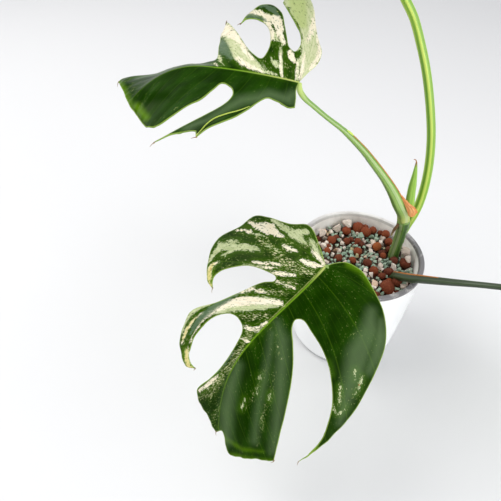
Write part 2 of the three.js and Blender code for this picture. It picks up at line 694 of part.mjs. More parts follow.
/** The dry papery sheath: a thin curved flap that stands off the upper stalk's foot. */
function drySheath() {
  const positions = [];
  const indices = [];
  const rows = SHEATH_ALONG + 1;
  const columns = SHEATH_ACROSS + 1;
  [0, SHEATH_THICKNESS].forEach((outward) => {
    for (let i = 0; i < rows; i += 1) {
      for (let k = 0; k < columns; k += 1) {
        const along = i / SHEATH_ALONG;
        const across = k / SHEATH_ACROSS;
        const angle = radians(SHEATH_START + SHEATH_SWEEP * across);
        const flare = SHEATH_FLARE * along ** 1.2 + Math.sin(SHEATH_WAVES * across) * along;
        const radius = SHEATH_RADIUS + flare + outward;
        const rise = SHEATH_HEIGHT * along * (1 - SHEATH_TAPER * across) - SHEATH_DIP * across;
        positions.push(SHEATH_CENTRE[0] - SHEATH_LEAN * along * (1 - across) + radius * Math.cos(angle),
          SHEATH_CENTRE[1] + radius * Math.sin(angle), SHEATH_FOOT + rise);
      }
    }
  });
  const at = (layer, i, k) => layer * rows * columns + i * columns + k;
  for (let i = 0; i < SHEATH_ALONG; i += 1) {
    for (let k = 0; k < SHEATH_ACROSS; k += 1) {
      indices.push(at(1, i, k), at(1, i, k + 1), at(1, i + 1, k + 1));
      indices.push(at(1, i, k), at(1, i + 1, k + 1), at(1, i + 1, k));
      indices.push(at(0, i, k), at(0, i + 1, k + 1), at(0, i, k + 1));
      indices.push(at(0, i, k), at(0, i + 1, k), at(0, i + 1, k + 1));
    }
  }
  const wall = (i, k, j, l) => {
    indices.push(at(1, i, k), at(0, i, k), at(0, j, l), at(1, i, k), at(0, j, l), at(1, j, l));
  };
  for (let k = 0; k < SHEATH_ACROSS; k += 1) {
    wall(0, k, 0, k + 1);
    wall(SHEATH_ALONG, k + 1, SHEATH_ALONG, k);
  }
  for (let i = 0; i < SHEATH_ALONG; i += 1) {
    wall(i + 1, 0, i, 0);
    wall(i, SHEATH_ACROSS, i + 1, SHEATH_ACROSS);
  }
  const geometry = new THREE.BufferGeometry();
  geometry.setAttribute('position', new THREE.Float32BufferAttribute(positions, 3));
  geometry.setIndex(indices);
  return geometry;
}

// Assembly

const stalkSolid = (name, swell = 0) => {
  const { route, radii } = STALKS[name];
  return solidOf(rod(route, radii, STALK_STEPS, STALK_SIDES, swell));
};
const stemSolid = (swell = 0) => solidOf(rod(STEM_ROUTE, STEM_RADII, STEM_STEPS, STEM_SIDES, swell));

/** A stalk, cut clear of its leaf and of what it grows beside. */
function stalk(name, neighbours) {
  const leaf = LEAVES[name.replace('petiole', 'leaf')];
  const heading = radians(leaf.heading);
  const clear = [-BLADE_CLEARANCE, 0, BLADE_CLEARANCE].map((shift) => solidOf(
    blade(leaf, BLADE_CLEARANCE).translate(shift * Math.cos(heading), shift * Math.sin(heading), 0),
  ));
  let solid = stalkSolid(name);
  [...clear, ...neighbours].forEach((neighbour) => {
    solid = solid.subtract(neighbour);
  });
  return geometryOf(largestBody(solid));
}

const standing = [stemSolid(SEAT_GAP), stalkSolid('petiole_a', SEAT_GAP), stalkSolid('petiole_b', SEAT_GAP)];
const wideStem = stemSolid(SEAT_GAP);
const widePetioleC = stalkSolid('petiole_c', SEAT_GAP);
const widePetioleD = stalkSolid('petiole_d', SEAT_GAP);
const shoot = solidOf(rod(SHOOT_ROUTE, SHOOT_RADII, SHOOT_STEPS, SHOOT_SIDES));
const aerialRoot = solidOf(rod(ROOT_ROUTE, ROOT_RADII, ROOT_STEPS, ROOT_SIDES));
const sheath = solidOf(drySheath());

const plant = new THREE.Group();
plant.add(
  piece('pot_outer', planter(), 0xf5f5f7, 0.35),
  piece('nursery_pot', geometryOf(nurseryPot()), 0x85868c, 0.45),
  piece('potting_mix', geometryOf(pottingMix(standing)), 0x8c5a44, 0.9),
  piece('stem', geometryOf(stemSolid()), 0x5f8a3c, 0.45),
  piece('petiole_a', stalk('petiole_a', []), 0x6f9a45, 0.4),
  piece('petiole_b', stalk('petiole_b', [wideStem]), 0x4f6f3a, 0.4),
  piece('petiole_c', stalk('petiole_c', [wideStem]), 0x86ab55, 0.4),
  piece('petiole_d', stalk('petiole_d', [wideStem, widePetioleC]), 0xa9bf52, 0.4),
  piece('leaf_a', blade(LEAVES.leaf_a), 0x2f5a1c, 0.3),
  piece('leaf_b', blade(LEAVES.leaf_b), 0x2f5a1c, 0.3),
  piece('leaf_c', blade(LEAVES.leaf_c), 0x3c6626, 0.3),
  piece('leaf_d', blade(LEAVES.leaf_d), 0x3c6626, 0.3),
  piece('new_shoot', geometryOf(largestBody(shoot.subtract(widePetioleC).subtract(widePetioleD))), 0x8cb04a, 0.4),
  piece('dry_sheath', geometryOf(largestBody(sheath.subtract(widePetioleC).subtract(wideStem))), 0xe0823c, 0.8),
  piece('aerial_root', geometryOf(largestBody(aerialRoot.subtract(wideStem))), 0x6b5436, 0.8),
);

export default plant;
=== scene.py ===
"""Potted variegated monstera: fine meshes and finishes over the fixed CAD frame.

Sizes are in millimetres, in the CAD frame, unless a name says otherwise; meshes are written in metres.
The blades are built from the same outlines and bending rules as the CAD solids that they stand for.
"""
import logging
import math
from collections.abc import Sequence
from dataclasses import dataclass, field
from enum import Enum
from functools import partialmethod

import bmesh
import bpy
import numpy as np
from mathutils import Matrix, Vector
from mathutils.geometry import delaunay_2d_cdt


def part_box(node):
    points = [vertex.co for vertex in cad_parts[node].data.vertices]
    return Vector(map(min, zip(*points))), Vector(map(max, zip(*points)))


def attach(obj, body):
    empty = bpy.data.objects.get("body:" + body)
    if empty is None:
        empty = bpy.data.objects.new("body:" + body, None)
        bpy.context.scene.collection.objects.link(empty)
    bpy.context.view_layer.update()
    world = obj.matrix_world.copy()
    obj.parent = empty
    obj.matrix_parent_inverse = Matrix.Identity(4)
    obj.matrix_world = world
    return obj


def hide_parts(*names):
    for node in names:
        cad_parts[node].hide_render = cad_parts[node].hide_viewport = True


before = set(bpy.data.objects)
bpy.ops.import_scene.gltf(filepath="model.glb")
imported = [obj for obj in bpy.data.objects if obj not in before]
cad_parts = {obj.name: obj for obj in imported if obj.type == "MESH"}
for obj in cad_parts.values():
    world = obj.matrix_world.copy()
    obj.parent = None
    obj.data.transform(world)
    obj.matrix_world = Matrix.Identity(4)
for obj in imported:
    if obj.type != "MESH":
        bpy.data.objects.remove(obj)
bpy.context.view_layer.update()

LOG = logging.getLogger("potted_monstera")
BODY = "root"
MM = 0.001
GRAIN_RATE = 0.01  # how far a tube's grain mark runs on for each millimetre along it

Point2 = tuple[float, float]
Point3 = tuple[float, float, float]
Outline = Sequence[tuple[float, ...]]
Keys = Sequence[Point2]
Socket = bpy.types.NodeSocket
Material = bpy.types.Material
Piece = bpy.types.Object


# Small mathematical helpers


def soft_step(values: np.ndarray) -> np.ndarray:
    """Returns the smooth step from 0 to 1 of values that run from 0 to 1."""
    held = np.clip(values, 0.0, 1.0)
    return held * held * (3.0 - 2.0 * held)


def keyed(keys: Keys, places: np.ndarray) -> np.ndarray:
    """Returns straight interpolation in (place, value) keys."""
    return np.interp(places, [key[0] for key in keys], [key[1] for key in keys])


def unit(vectors: np.ndarray) -> np.ndarray:
    """Returns the vectors at length 1."""
    lengths = np.linalg.norm(vectors, axis=-1, keepdims=True)
    return vectors / np.maximum(lengths, 1e-9)


def running_lengths(route: np.ndarray) -> np.ndarray:
    """Returns how far along a route each of its points lies."""
    return np.concatenate([[0], np.cumsum(np.linalg.norm(np.diff(route, axis=0), axis=1))])


def arc(x: float, y: float, wide: float, high: float, first: float, last: float, count: int) -> list:
    """Returns points on an ellipse round (x, y), from a first to a last angle in radians."""
    return [(x + wide * math.cos(angle), y + high * math.sin(angle)) for angle in np.linspace(first, last, count)]


def centripetal(points: np.ndarray, step: float) -> np.ndarray:
    """Samples a centripetal Catmull-Rom curve through points.

    Args:
        points: The points that the curve passes, in order, one in each row.
        step: The distance between samples, roughly.

    Returns:
        The samples from the first point to the last.
    """
    padded = np.vstack([2 * points[0] - points[1], points, 2 * points[-1] - points[-2]])
    samples = []
    for index in range(1, len(padded) - 2):
        p0, p1, p2, p3 = padded[index - 1:index + 3]
        t1 = np.linalg.norm(p1 - p0) ** 0.5
        t2 = t1 + np.linalg.norm(p2 - p1) ** 0.5
        t3 = t2 + np.linalg.norm(p3 - p2) ** 0.5
        count = max(2, int(round(np.linalg.norm(p2 - p1) / step)))
        t = np.linspace(t1, t2, count, endpoint=False)[:, None]
        a1 = (t1 - t) / t1 * p0 + t / t1 * p1
        a2 = (t2 - t) / (t2 - t1) * p1 + (t - t1) / (t2 - t1) * p2
        a3 = (t3 - t) / (t3 - t2) * p2 + (t - t2) / (t3 - t2) * p3
        b1 = (t2 - t) / t2 * a1 + t / t2 * a2
        b2 = (t3 - t) / (t3 - t1) * a2 + (t - t1) / (t3 - t1) * a3
        samples.append((t2 - t) / (t2 - t1) * b1 + (t - t1) / (t2 - t1) * b2)
    samples.append(points[-1:])
    return np.vstack(samples)


def nearest_on_segments(points: np.ndarray, starts: np.ndarray, ends: np.ndarray) -> tuple:
    """Finds how far points lie from straight segments.

    Args:
        points: Points in the plane, one in each row.
        starts: The first ends of the segments.
        ends: The second ends of the segments.

    Returns:
        The distances and the shares along each segment, as arrays of points by segments.
    """
    along = ends - starts
    reach = points[:, None, :] - starts[None, :, :]
    share = (reach * along).sum(-1) / np.maximum((along * along).sum(-1), 1e-9)
    share = np.clip(share, 0.0, 1.0)
    gaps = reach - share[..., None] * along
    return np.linalg.norm(gaps, axis=-1), share


# Meshes


@dataclass
class Shell:
    """A mesh in the making: places in millimetres, faces, and one value or colour for each vertex."""

    places: np.ndarray
    faces: list
    marks: dict = field(default_factory=dict)


def joined_shells(shells: list) -> Shell:
    """Joins shells.

    Args:
        shells: The shells, which stay as they are.

    Returns:
        One shell, with the marks that all of them have.
    """
    offsets = np.cumsum([0] + [len(shell.places) for shell in shells])
    faces = []
    for offset, shell in zip(offsets, shells):
        faces.extend(tuple(int(corner + offset) for corner in face) for face in shell.faces)
    names = set(shells[0].marks).intersection(*[set(shell.marks) for shell in shells])
    marks = {name: np.concatenate([shell.marks[name] for shell in shells]) for name in names}
    return Shell(np.vstack([shell.places for shell in shells]), faces, marks)


def put_in_scene(name: str, data: bpy.types.ID) -> Piece:
    """Returns a new object of the scene that holds a mesh, a camera or a lamp."""
    piece = bpy.data.objects.new(name, data)
    bpy.context.scene.collection.objects.link(piece)
    return piece


def place_piece(name: str, shell: Shell, material: Material,
                nodes: tuple = (), smooth: bool = True) -> Piece:
    """Makes a scene object from a shell and ties it to the frame.

    Args:
        name: The object's name.
        shell: The mesh, in millimetres.
        material: The finish.
        nodes: The CAD nodes that the piece stands for.
        smooth: Whether the faces are shaded smooth.

    Returns:
        The new object, riding on the frame's body.
    """
    mesh = bpy.data.meshes.new(name)
    mesh.from_pydata((shell.places * MM).tolist(), [], shell.faces)
    for mark, values in shell.marks.items():
        kind = "FLOAT" if values.ndim == 1 else "FLOAT_VECTOR"
        attribute = mesh.attributes.new(mark, kind, "POINT")
        key = "value" if values.ndim == 1 else "vector"
        attribute.data.foreach_set(key, np.ascontiguousarray(values, dtype=np.float32).ravel())
    mesh.polygons.foreach_set("use_smooth", [smooth] * len(mesh.polygons))
    mesh.update()
    mesh.validate()
    mesh.materials.append(material)
    piece = put_in_scene(name, mesh)
    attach(piece, BODY)
    if nodes:
        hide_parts(*nodes)
    LOG.info("%s: %d faces", name, len(mesh.polygons))
    return piece


def band(rings: list[list[int]]) -> list:
    """Closes the band between rings of corners, one above the other.

    Args:
        rings: The numbers of each ring's corners; a ring may be one corner over and over.

    Returns:
        The faces, without doubled corners.
    """
    faces = []
    for low, high in zip(rings, rings[1:]):
        for k, corner in enumerate(low):
            n = (k + 1) % len(low)
            faces.append(tuple(dict.fromkeys((corner, low[n], high[n], high[k]))))
    return [face for face in faces if len(face) > 2]


def turned(profile: np.ndarray, around: int) -> Shell:
    """Turns a profile of (radius, height) points round the vertical axis.

    Args:
        profile: The points in order; those with no radius are drawn together at the axis.
        around: How many columns the turned shape has.

    Returns:
        The turned shell, whose marks hold each vertex's place along the profile.
    """
    angles = np.linspace(0, 2 * math.pi, around, endpoint=False)
    places = []
    rows = []
    shares = []
    for index, (radius, height) in enumerate(profile):
        start = len(places)
        if radius < 1e-6:
            places.append((0.0, 0.0, height))
            rows.append([start] * around)
            shares.append(index / (len(profile) - 1))
        else:
            places.extend((radius * math.cos(a), radius * math.sin(a), height) for a in angles)
            rows.append(list(range(start, start + around)))
            shares.extend([index / (len(profile) - 1)] * around)
    return Shell(np.array(places), band(rows), {"share": np.array(shares)})


def tube(route: np.ndarray, radii: np.ndarray, sides: int, ribs: Keys = ((0, 0),)) -> Shell:
    """Sweeps a round section along a route and closes its ends.

    Args:
        route: The centre line's points, close together.
        radii: The radius at each of them.
        sides: How many sides the section has.
        ribs: (how many ribs, how deep as a share of the radius) pairs that groove the section.

    Returns:
        The closed tube, whose marks hold the place round and along it.
    """
    tangents = unit(np.gradient(route, axis=0))
    normal = unit(np.cross(tangents[0], (0.31, 0.93, 0.2)))
    angles = np.linspace(0, 2 * math.pi, sides, endpoint=False)
    groove = sum(depth * np.cos(count * angles + count) for count, depth in ribs)
    lengths = running_lengths(route)
    places = []
    grain = []
    outward = []
    for centre, tangent, radius, length in zip(route, tangents, radii, lengths):
        normal = unit(normal - tangent * normal.dot(tangent))
        side = np.cross(tangent, normal)
        for angle, cut in zip(angles, groove):
            spread = math.cos(angle) * normal + math.sin(angle) * side
            places.append(centre + radius * (1 + cut) * spread)
            outward.append(tuple(spread))
            grain.append((math.cos(angle), math.sin(angle), length * GRAIN_RATE))
    rings = np.arange(len(places)).reshape(-1, sides).tolist()
    faces = band(rings)
    for row, sign in ((0, -1), (len(route) - 1, 1)):
        tip = len(places)
        places.append(route[row] + sign * tangents[row] * radii[row] * 0.5)
        grain.append((0.0, 0.0, lengths[row] * GRAIN_RATE))
        outward.append(tuple(tangents[row] * sign))
        for pair in zip(rings[row], rings[row][1:] + rings[row][:1]):
            faces.append((tip, *pair) if sign > 0 else (tip, pair[1], pair[0]))
    share = np.concatenate([np.repeat(lengths / lengths[-1], sides), [0.0, 1.0]])
    marks = {"grain": np.array(grain), "outward": np.array(outward), "share": share}
    return Shell(np.array(places), faces, marks)


# Finishes


def rgb(*channels: int) -> tuple:
    """Returns an everyday 0 to 255 colour as Blender's linear colour, opaque."""
    parts = [channel / 255 for channel in channels]
    return *(part / 12.92 if part <= 0.04045 else ((part + 0.055) / 1.055) ** 2.4 for part in parts), 1.0


class Bench:
    """Builds one material's node tree round a Principled shader."""

    def __init__(self, name: str) -> None:
        """Starts the material with only its shader and output.

        Args:
            name: The material's name.
        """
        self.material = bpy.data.materials.new(name)
        self.material.use_nodes = True
        self.tree = self.material.node_tree
        self.tree.nodes.clear()
        self.shader = self.tree.nodes.new("ShaderNodeBsdfPrincipled")
        output = self.tree.nodes.new("ShaderNodeOutputMaterial")
        self.tree.links.new(self.shader.outputs["BSDF"], output.inputs["Surface"])

    def put(self, socket: Socket, value: object) -> None:
        """Fills a node's input.

        Args:
            socket: The input.
            value: A number, a colour or another node's output.
        """
        if isinstance(value, Socket):
            self.tree.links.new(value, socket)
        else:
            socket.default_value = value

    def set(self, **values: object) -> None:
        """Sets the shader's sockets; an underscore in a name stands for a space."""
        for name, value in values.items():
            self.put(self.shader.inputs[name.replace("_", " ")], value)

    def node(self, kind: str, output: object, inputs: dict, **settings: object) -> Socket:
        """Adds a node.

        Args:
            kind: What Blender calls it after ShaderNode.
            output: The name or number of the output that is wanted.
            inputs: What fills its inputs, by their names or numbers.
            settings: Its own settings.

        Returns:
            The wanted output.
        """
        node = self.tree.nodes.new("ShaderNode" + kind)
        for name, value in settings.items():
            setattr(node, name, value)
        for name, value in inputs.items():
            self.put(node.inputs[name], value)
        return node.outputs[output]

    def mark(self, name: str, output: str = "Fac") -> Socket:
        """Returns a mark of the mesh: its value, or its vector where that output is named."""
        return self.node("Attribute", output, {}, attribute_name=name)

    def object_place(self) -> Socket:
        """Returns the place in the object's own coordinates, in metres."""
        return self.node("TexCoord", "Object", {})

    def part(self, vector: Socket, axis: str) -> Socket:
        """Returns a vector's part along one axis."""
        return self.node("SeparateXYZ", axis, {0: vector})

    def math(self, operation: str, *values: object) -> Socket:
        """Returns the result of a sum on numbers or sockets."""
        return self.node("Math", 0, dict(enumerate(values)), operation=operation)

    # The sums used most; scaled() gives first * second + third.
    times = partialmethod(math, "MULTIPLY")
    plus = partialmethod(math, "ADD")
    minus = partialmethod(math, "SUBTRACT")
    scaled = partialmethod(math, "MULTIPLY_ADD")
    larger = partialmethod(math, "MAXIMUM")

    def facing(self, mark: str, way: Point3) -> Socket:
        """Returns how far a direction mark points one way: 1 along it, 0 across it."""
        ways = {0: self.mark(mark, "Vector"), 1: tuple(unit(np.array([way], float))[0])}
        return self.node("VectorMath", "Value", ways, operation="DOT_PRODUCT")

    def stretch(self, vector: Socket, scale: Point3, shift: Point3 = (0, 0, 0)) -> Socket:
        """Returns a vector scaled and shifted along its axes."""
        return self.node("VectorMath", 0, {0: vector, 1: scale, 2: shift}, operation="MULTIPLY_ADD")

    def noise(self, vector: Socket, scale: float, detail: float = 2.0, rough: float = 0.5,
              warp: float = 0.0) -> Socket:
        """Returns a noise value from 0 to 1."""
        return self.node("TexNoise", "Fac", {"Vector": vector, "Scale": scale, "Detail": detail,
                                             "Roughness": rough, "Distortion": warp})

    def streaky(self, vector: Socket, scale: Point3, shift: Point3 = (0, 0, 0), *rest: float) -> Socket:
        """Returns noise on a vector that is stretched and shifted first; the rest is what noise() takes."""
        return self.noise(self.stretch(vector, scale, shift), 1.0, *rest)

    def cells(self, vector: Socket, scale: float) -> Socket:
        """Returns the distance to the nearest of scattered points."""
        return self.node("TexVoronoi", "Distance", {"Vector": vector, "Scale": scale})

    def between(self, value: object, low: float, high: float, least: float = 0.0, most: float = 1.0) -> Socket:
        """Returns the value drawn smoothly from the range low to high into least to most."""
        inputs = dict(enumerate((value, low, high, least, most)))
        return self.node("MapRange", 0, inputs, interpolation_type="SMOOTHSTEP")

    def blend(self, factor: object, first: object, second: object) -> Socket:
        """Returns one colour mixed into another."""
        return self.node("Mix", 2, {0: factor, 6: first, 7: second}, data_type="RGBA")

    def lay(self, under: object, over: object, value: object, *span: float) -> Socket:
        """Returns one colour laid over another by a value; span is what between() takes after it."""
        return self.blend(self.between(value, *span), under, over)

    def bump(self, height: Socket, strength: float, depth: float) -> Socket:
        """Returns a normal roughened by a height."""
        return self.node("Bump", "Normal", {"Height": height, "Strength": strength, "Distance": depth})


@dataclass(frozen=True)
class BladeFinish:
    """Waxy green leaf skin with cream and sage marbling that runs along the side veins, and grey-green bands of
    painted sheen.
    """

    name: str
    deep: tuple = rgb(12, 38, 0)
    fresh: tuple = rgb(30, 67, 1)
    lively: tuple = rgb(58, 94, 8)
    cream: tuple = rgb(232, 220, 192)
    ivory: tuple = rgb(238, 229, 208)
    sage: tuple = rgb(196, 202, 160)
    sage_dark: tuple = rgb(164, 176, 126)
    olive: tuple = rgb(180, 192, 126)
    # Grey-green: a marbling tone, and on the lower leaf painted sheen along a folded lobe strip and a lobe edge.
    grey: tuple = rgb(88, 110, 84)
    lime: tuple = rgb(92, 132, 12)
    margin: tuple = rgb(146, 172, 78)
    rib: tuple = rgb(100, 138, 30)
    rib_foot: tuple = rgb(176, 186, 104)
    # Painted sheen: grey-green that stands in for light reflected by the glossy blade.
    bloom: tuple = rgb(98, 120, 82)
    speckle: tuple = rgb(150, 166, 92)
    straw: tuple = rgb(206, 194, 112)
    vein_show: float = 0.15
    underside: tuple = rgb(112, 146, 88)
    dry: tuple = rgb(104, 70, 40)
    rust: tuple = rgb(176, 84, 34)
    roughness: float = 0.34
    spacing: float = 17.0
    seed: float = 0.0

    def ragged(self, bench: Bench, vein: Socket) -> Socket:
        """Lets the edges of patches wander in streaks along the veins.

        Args:
            bench: The material's bench.
            vein: The mark that runs with the veins.

        Returns:
            How far an edge wanders, in millimetres.
        """
        streak = bench.streaky(vein, (0.5, 0.12, 3.0), (0, 0, 0), 3.0, 0.6, 0.3)
        fine = bench.streaky(vein, (2.0, 0.5, 3.0), (7, 0, 0), 2.0, 0.6)
        wander = bench.scaled(streak, 6.0, -3.0)
        return bench.plus(wander, bench.scaled(fine, 6.6, -3.3))

    def veins(self, bench: Bench) -> Socket:
        """Draws the side veins and the finer veins between them.

        Args:
            bench: The material's bench.

        Returns:
            How strongly a vein shows.
        """
        phase = bench.mark("phase")
        strong = bench.times(bench.math("PINGPONG", phase, 0.5), self.spacing)
        weak = bench.times(bench.math("PINGPONG", bench.times(phase, 5.0), 0.5), self.spacing / 5)
        line = bench.between(strong, 0.1, 0.55, self.vein_show, 0.0)
        return bench.larger(line, bench.between(weak, 0.05, 0.4, self.vein_show * 0.25, 0.0))

    def material(self) -> Material:
        """Builds the finish.

        Returns:
            The material, which reads the marks that Blade writes.
        """
        bench = Bench(self.name)
        vein = bench.stretch(bench.mark("vein", "Vector"), (1, 1, 1), (self.seed * 10, 0, 0))
        ragged = self.ragged(bench, vein)
        cloud = bench.streaky(vein, (0.09, 0.045, 1.0), (9, 2, 0), 3.0, 0.5)
        tone = bench.streaky(vein, (0.5, 0.09, 3.0), (3, 5, 0), 3.0, 0.6)
        speck = bench.streaky(vein, (1.5, 0.32, 3.0), (4, 0, 0), 2.0, 0.75)
        hole = bench.streaky(vein, (0.95, 0.3, 3.0), (14, 3, 0), 2.0, 0.75)
        line = self.veins(bench)

        green = bench.lay(self.deep, self.fresh, cloud, 0.3, 0.8, 0.0, 0.7)
        green = bench.lay(green, self.fresh, tone, 0.5, 0.8, 0.0, 0.3)
        near_pale = bench.larger(bench.mark("sage"), bench.mark("cream"))
        green = bench.lay(green, self.lively, near_pale, -7.0, 0.5, 0.0, 0.55)
        matt = self.amount(bench, "matt", None, -5.0, 4.0, 1.0)
        green = bench.blend(bench.times(matt, 0.35), green, self.deep)
        green = bench.blend(line, green, self.rib)
        skin = bench.blend(self.amount(bench, "lime", None, -6.0, 1.5, 0.6), green, self.lime)

        sage = bench.lay(self.sage, self.sage_dark, tone, 0.35, 0.7)
        sage = bench.lay(sage, self.cream, tone, 0.62, 0.8, 0.0, 0.6)
        sage = bench.blend(self.amount(bench, "olive", None, -3.0, 3.0, 0.85), sage, self.olive)
        cream = bench.lay(self.ivory, self.cream, tone, 0.35, 0.7)
        cream = bench.blend(self.amount(bench, "straw", None, -3.0, 1.5, 0.85), cream, self.straw)
        sage_amount = self.amount(bench, "sage", ragged, -0.3, 0.5, 1.0)
        cream_amount = self.amount(bench, "cream", ragged, -0.3, 0.4, 1.0)
        pale = bench.blend(cream_amount, sage, cream)
        pale_amount = bench.larger(sage_amount, cream_amount)
        fleck = bench.mark("fleck")
        patchy = bench.scaled(cloud, 0.3, -0.15)
        hole_edge = bench.plus(hole, bench.times(bench.plus(fleck, patchy), 0.035))
        pale_amount = bench.times(pale_amount, bench.between(hole_edge, 0.62, 0.68, 1.0, 0.1))
        dark_amount = self.amount(bench, "dark", ragged, -0.3, 0.4, 1.0)
        pale_amount = bench.times(pale_amount, bench.minus(1.0, dark_amount))
        speck_edge = bench.plus(bench.plus(speck, patchy), bench.times(fleck, 0.13))
        spotted = bench.lay(skin, self.speckle, speck_edge, 0.69, 0.78, 0.0, 0.7)
        spotted = bench.lay(spotted, self.cream, speck_edge, 0.77, 0.86, 0.0, 0.9)
        skin = bench.blend(pale_amount, spotted, pale)
        # Grey: marbling, and on the lower leaf painted sheen.
        skin = bench.blend(self.amount(bench, "grey", ragged, -0.6, 0.8, 0.85), skin, self.grey)
        skin = bench.blend(self.amount(bench, "rust", None, -0.4, 0.4, 0.8), skin, self.rust)
        # Painted sheen: grey-green laid on in bands along the lobes, weaker over the pale patches.
        bloom = self.amount(bench, "bloom", None, -7.0, 6.0, 0.5)
        bloom = bench.times(bloom, bench.between(pale_amount, 0.2, 0.8, 1.0, 0.25))
        skin = bench.blend(bloom, skin, self.bloom)

        rim = bench.between(bench.mark("rim"), 0.25, 1.0, 0.7, 0.0)
        rim = bench.times(rim, bench.between(pale_amount, 0.3, 0.9, 1.0, 0.25))
        skin = bench.blend(rim, skin, self.margin)
        rib = bench.blend(bench.mark("foot"), self.rib, self.rib_foot)
        # The midrib's colour fades out towards the apex: painted shade over its far part.
        on_rib = bench.times(bench.mark("rib_seen"), bench.between(bench.mark("rib"), 0.45, 0.8))
        skin = bench.blend(on_rib, skin, rib)
        skin = bench.lay(skin, self.rib_foot, bench.mark("rib_pale"), 0.4, 0.8, 0.0, 0.55)
        under = bench.mark("under")
        skin = bench.blend(under, skin, bench.blend(0.6, skin, self.underside))
        skin = bench.lay(skin, self.dry, bench.mark("dry"), 0.45, 0.85)

        bench.set(Specular_IOR_Level=bench.scaled(matt, -0.08, 0.1))
        bench.set(Base_Color=skin, IOR=1.45, Specular_Tint=(0.8, 1.0, 0.35, 1.0))
        rough = bench.scaled(cloud, 0.14, self.roughness - 0.07)
        bench.set(Roughness=bench.scaled(under, 0.25, rough))
        relief = bench.plus(bench.times(tone, 0.6), bench.times(speck, 0.25))
        relief = bench.minus(relief, bench.times(line, 0.9))
        bench.set(Normal=bench.bump(relief, 0.25, 0.0006))
        return bench.material

    @staticmethod
    def amount(bench: Bench, mark: str, wander: Socket | None, low: float, high: float, most: float) -> Socket:
        """Returns how much of a marking shows, from its distance mark and the wander of its edge."""
        place = bench.mark(mark) if wander is None else bench.plus(bench.mark(mark), wander)
        return bench.between(place, low, high, 0.0, most)


@dataclass(frozen=True)
class StalkFinish:
    """Juicy stalk skin: fine lengthwise stripes between two greens, with a blush at one end, and bands of painted
    highlight and painted shade by the way the skin faces.

    A streak is one such band, a painted highlight where pale and painted shade where dark: (the way it faces, cosine
    where it starts, cosine where it is full, amount, colour).
    """

    name: str
    light: tuple = rgb(150, 182, 88)
    dark: tuple = rgb(104, 146, 52)
    end: tuple = rgb(150, 182, 88)
    end_from: float = 0.9
    end_to: float = 1.0
    roughness: float = 0.36
    broad: float = 0.5
    foot: tuple = rgb(150, 182, 88)
    foot_to: float = 0.001
    streaks: tuple = ()

    def material(self) -> Material:
        """Builds the finish.

        Returns:
            The material, which reads the marks that a tube writes.
        """
        bench = Bench(self.name)
        grain = bench.mark("grain", "Vector")
        broad = bench.streaky(grain, (1.7, 1.7, 0.35), (2, 7, 0), 2.0, 0.5)
        fine = bench.streaky(grain, (6.0, 6.0, 0.5), (0, 0, 0), 4.0, 0.6)
        stripes = bench.scaled(broad, self.broad, bench.times(fine, 1.0 - self.broad))
        spots = bench.streaky(grain, (6.0, 6.0, 26.0), (0, 0, 0), 3.0, 0.6)
        patch = bench.streaky(grain, (0.8, 0.8, 3.2), (0, 0, 0), 2.0)
        skin = bench.lay(self.dark, self.light, stripes, 0.4, 0.6)
        skin = bench.lay(skin, self.dark, patch, 0.45, 0.75, 0.0, 0.35)
        share = bench.mark("share")
        skin = bench.lay(skin, self.foot, share, 0.0, self.foot_to, 1.0, 0.0)
        skin = bench.lay(skin, self.dark, spots, 0.68, 0.8, 0.0, 0.4)
        # Painted highlights and painted shade: each streak colours the side of the stalk that faces its way.
        for way, first, last, amount, colour in self.streaks:
            light_band_facing = bench.scaled(fine, 0.16, bench.facing("outward", way))
            skin = bench.lay(skin, colour, light_band_facing, first + 0.08, last + 0.08, 0.0, amount)
        skin = bench.lay(skin, self.end, share, self.end_from, self.end_to)
        bench.set(Base_Color=skin, Roughness=self.roughness, IOR=1.42, Coat_Weight=0.1, Coat_Roughness=0.25)
        height = bench.scaled(stripes, 0.7, bench.times(spots, 0.3))
        bench.set(Normal=bench.bump(height, 0.45, 0.0008))
        return bench.material


@dataclass(frozen=True)
class SmoothFinish:
    """Even factory finish for glaze and moulded plastic, with faint clouds and scuffs."""

    name: str
    colour: tuple
    cloud: tuple
    roughness: float
    cloud_scale: float = 40.0
    coat: float = 0.0
    bump: float = 0.05
    wear: float = 0.14

    def material(self) -> Material:
        """Builds the finish.

        Returns:
            The material, placed by the object's own coordinates.
        """
        bench = Bench(self.name)
        place = bench.object_place()
        cloud = bench.noise(place, self.cloud_scale, 4.0, 0.6, 0.6)
        scuff = bench.noise(place, self.cloud_scale * 14, 3.0, 0.6)
        bench.set(Base_Color=bench.lay(self.colour, self.cloud, cloud, 0.35, 0.72))
        bench.set(Roughness=bench.scaled(scuff, self.wear, self.roughness - self.wear / 2))
        bench.set(IOR=1.5, Coat_Weight=self.coat, Coat_Roughness=0.08)
        bench.set(Normal=bench.bump(scuff, self.bump, 0.0004))
        return bench.material


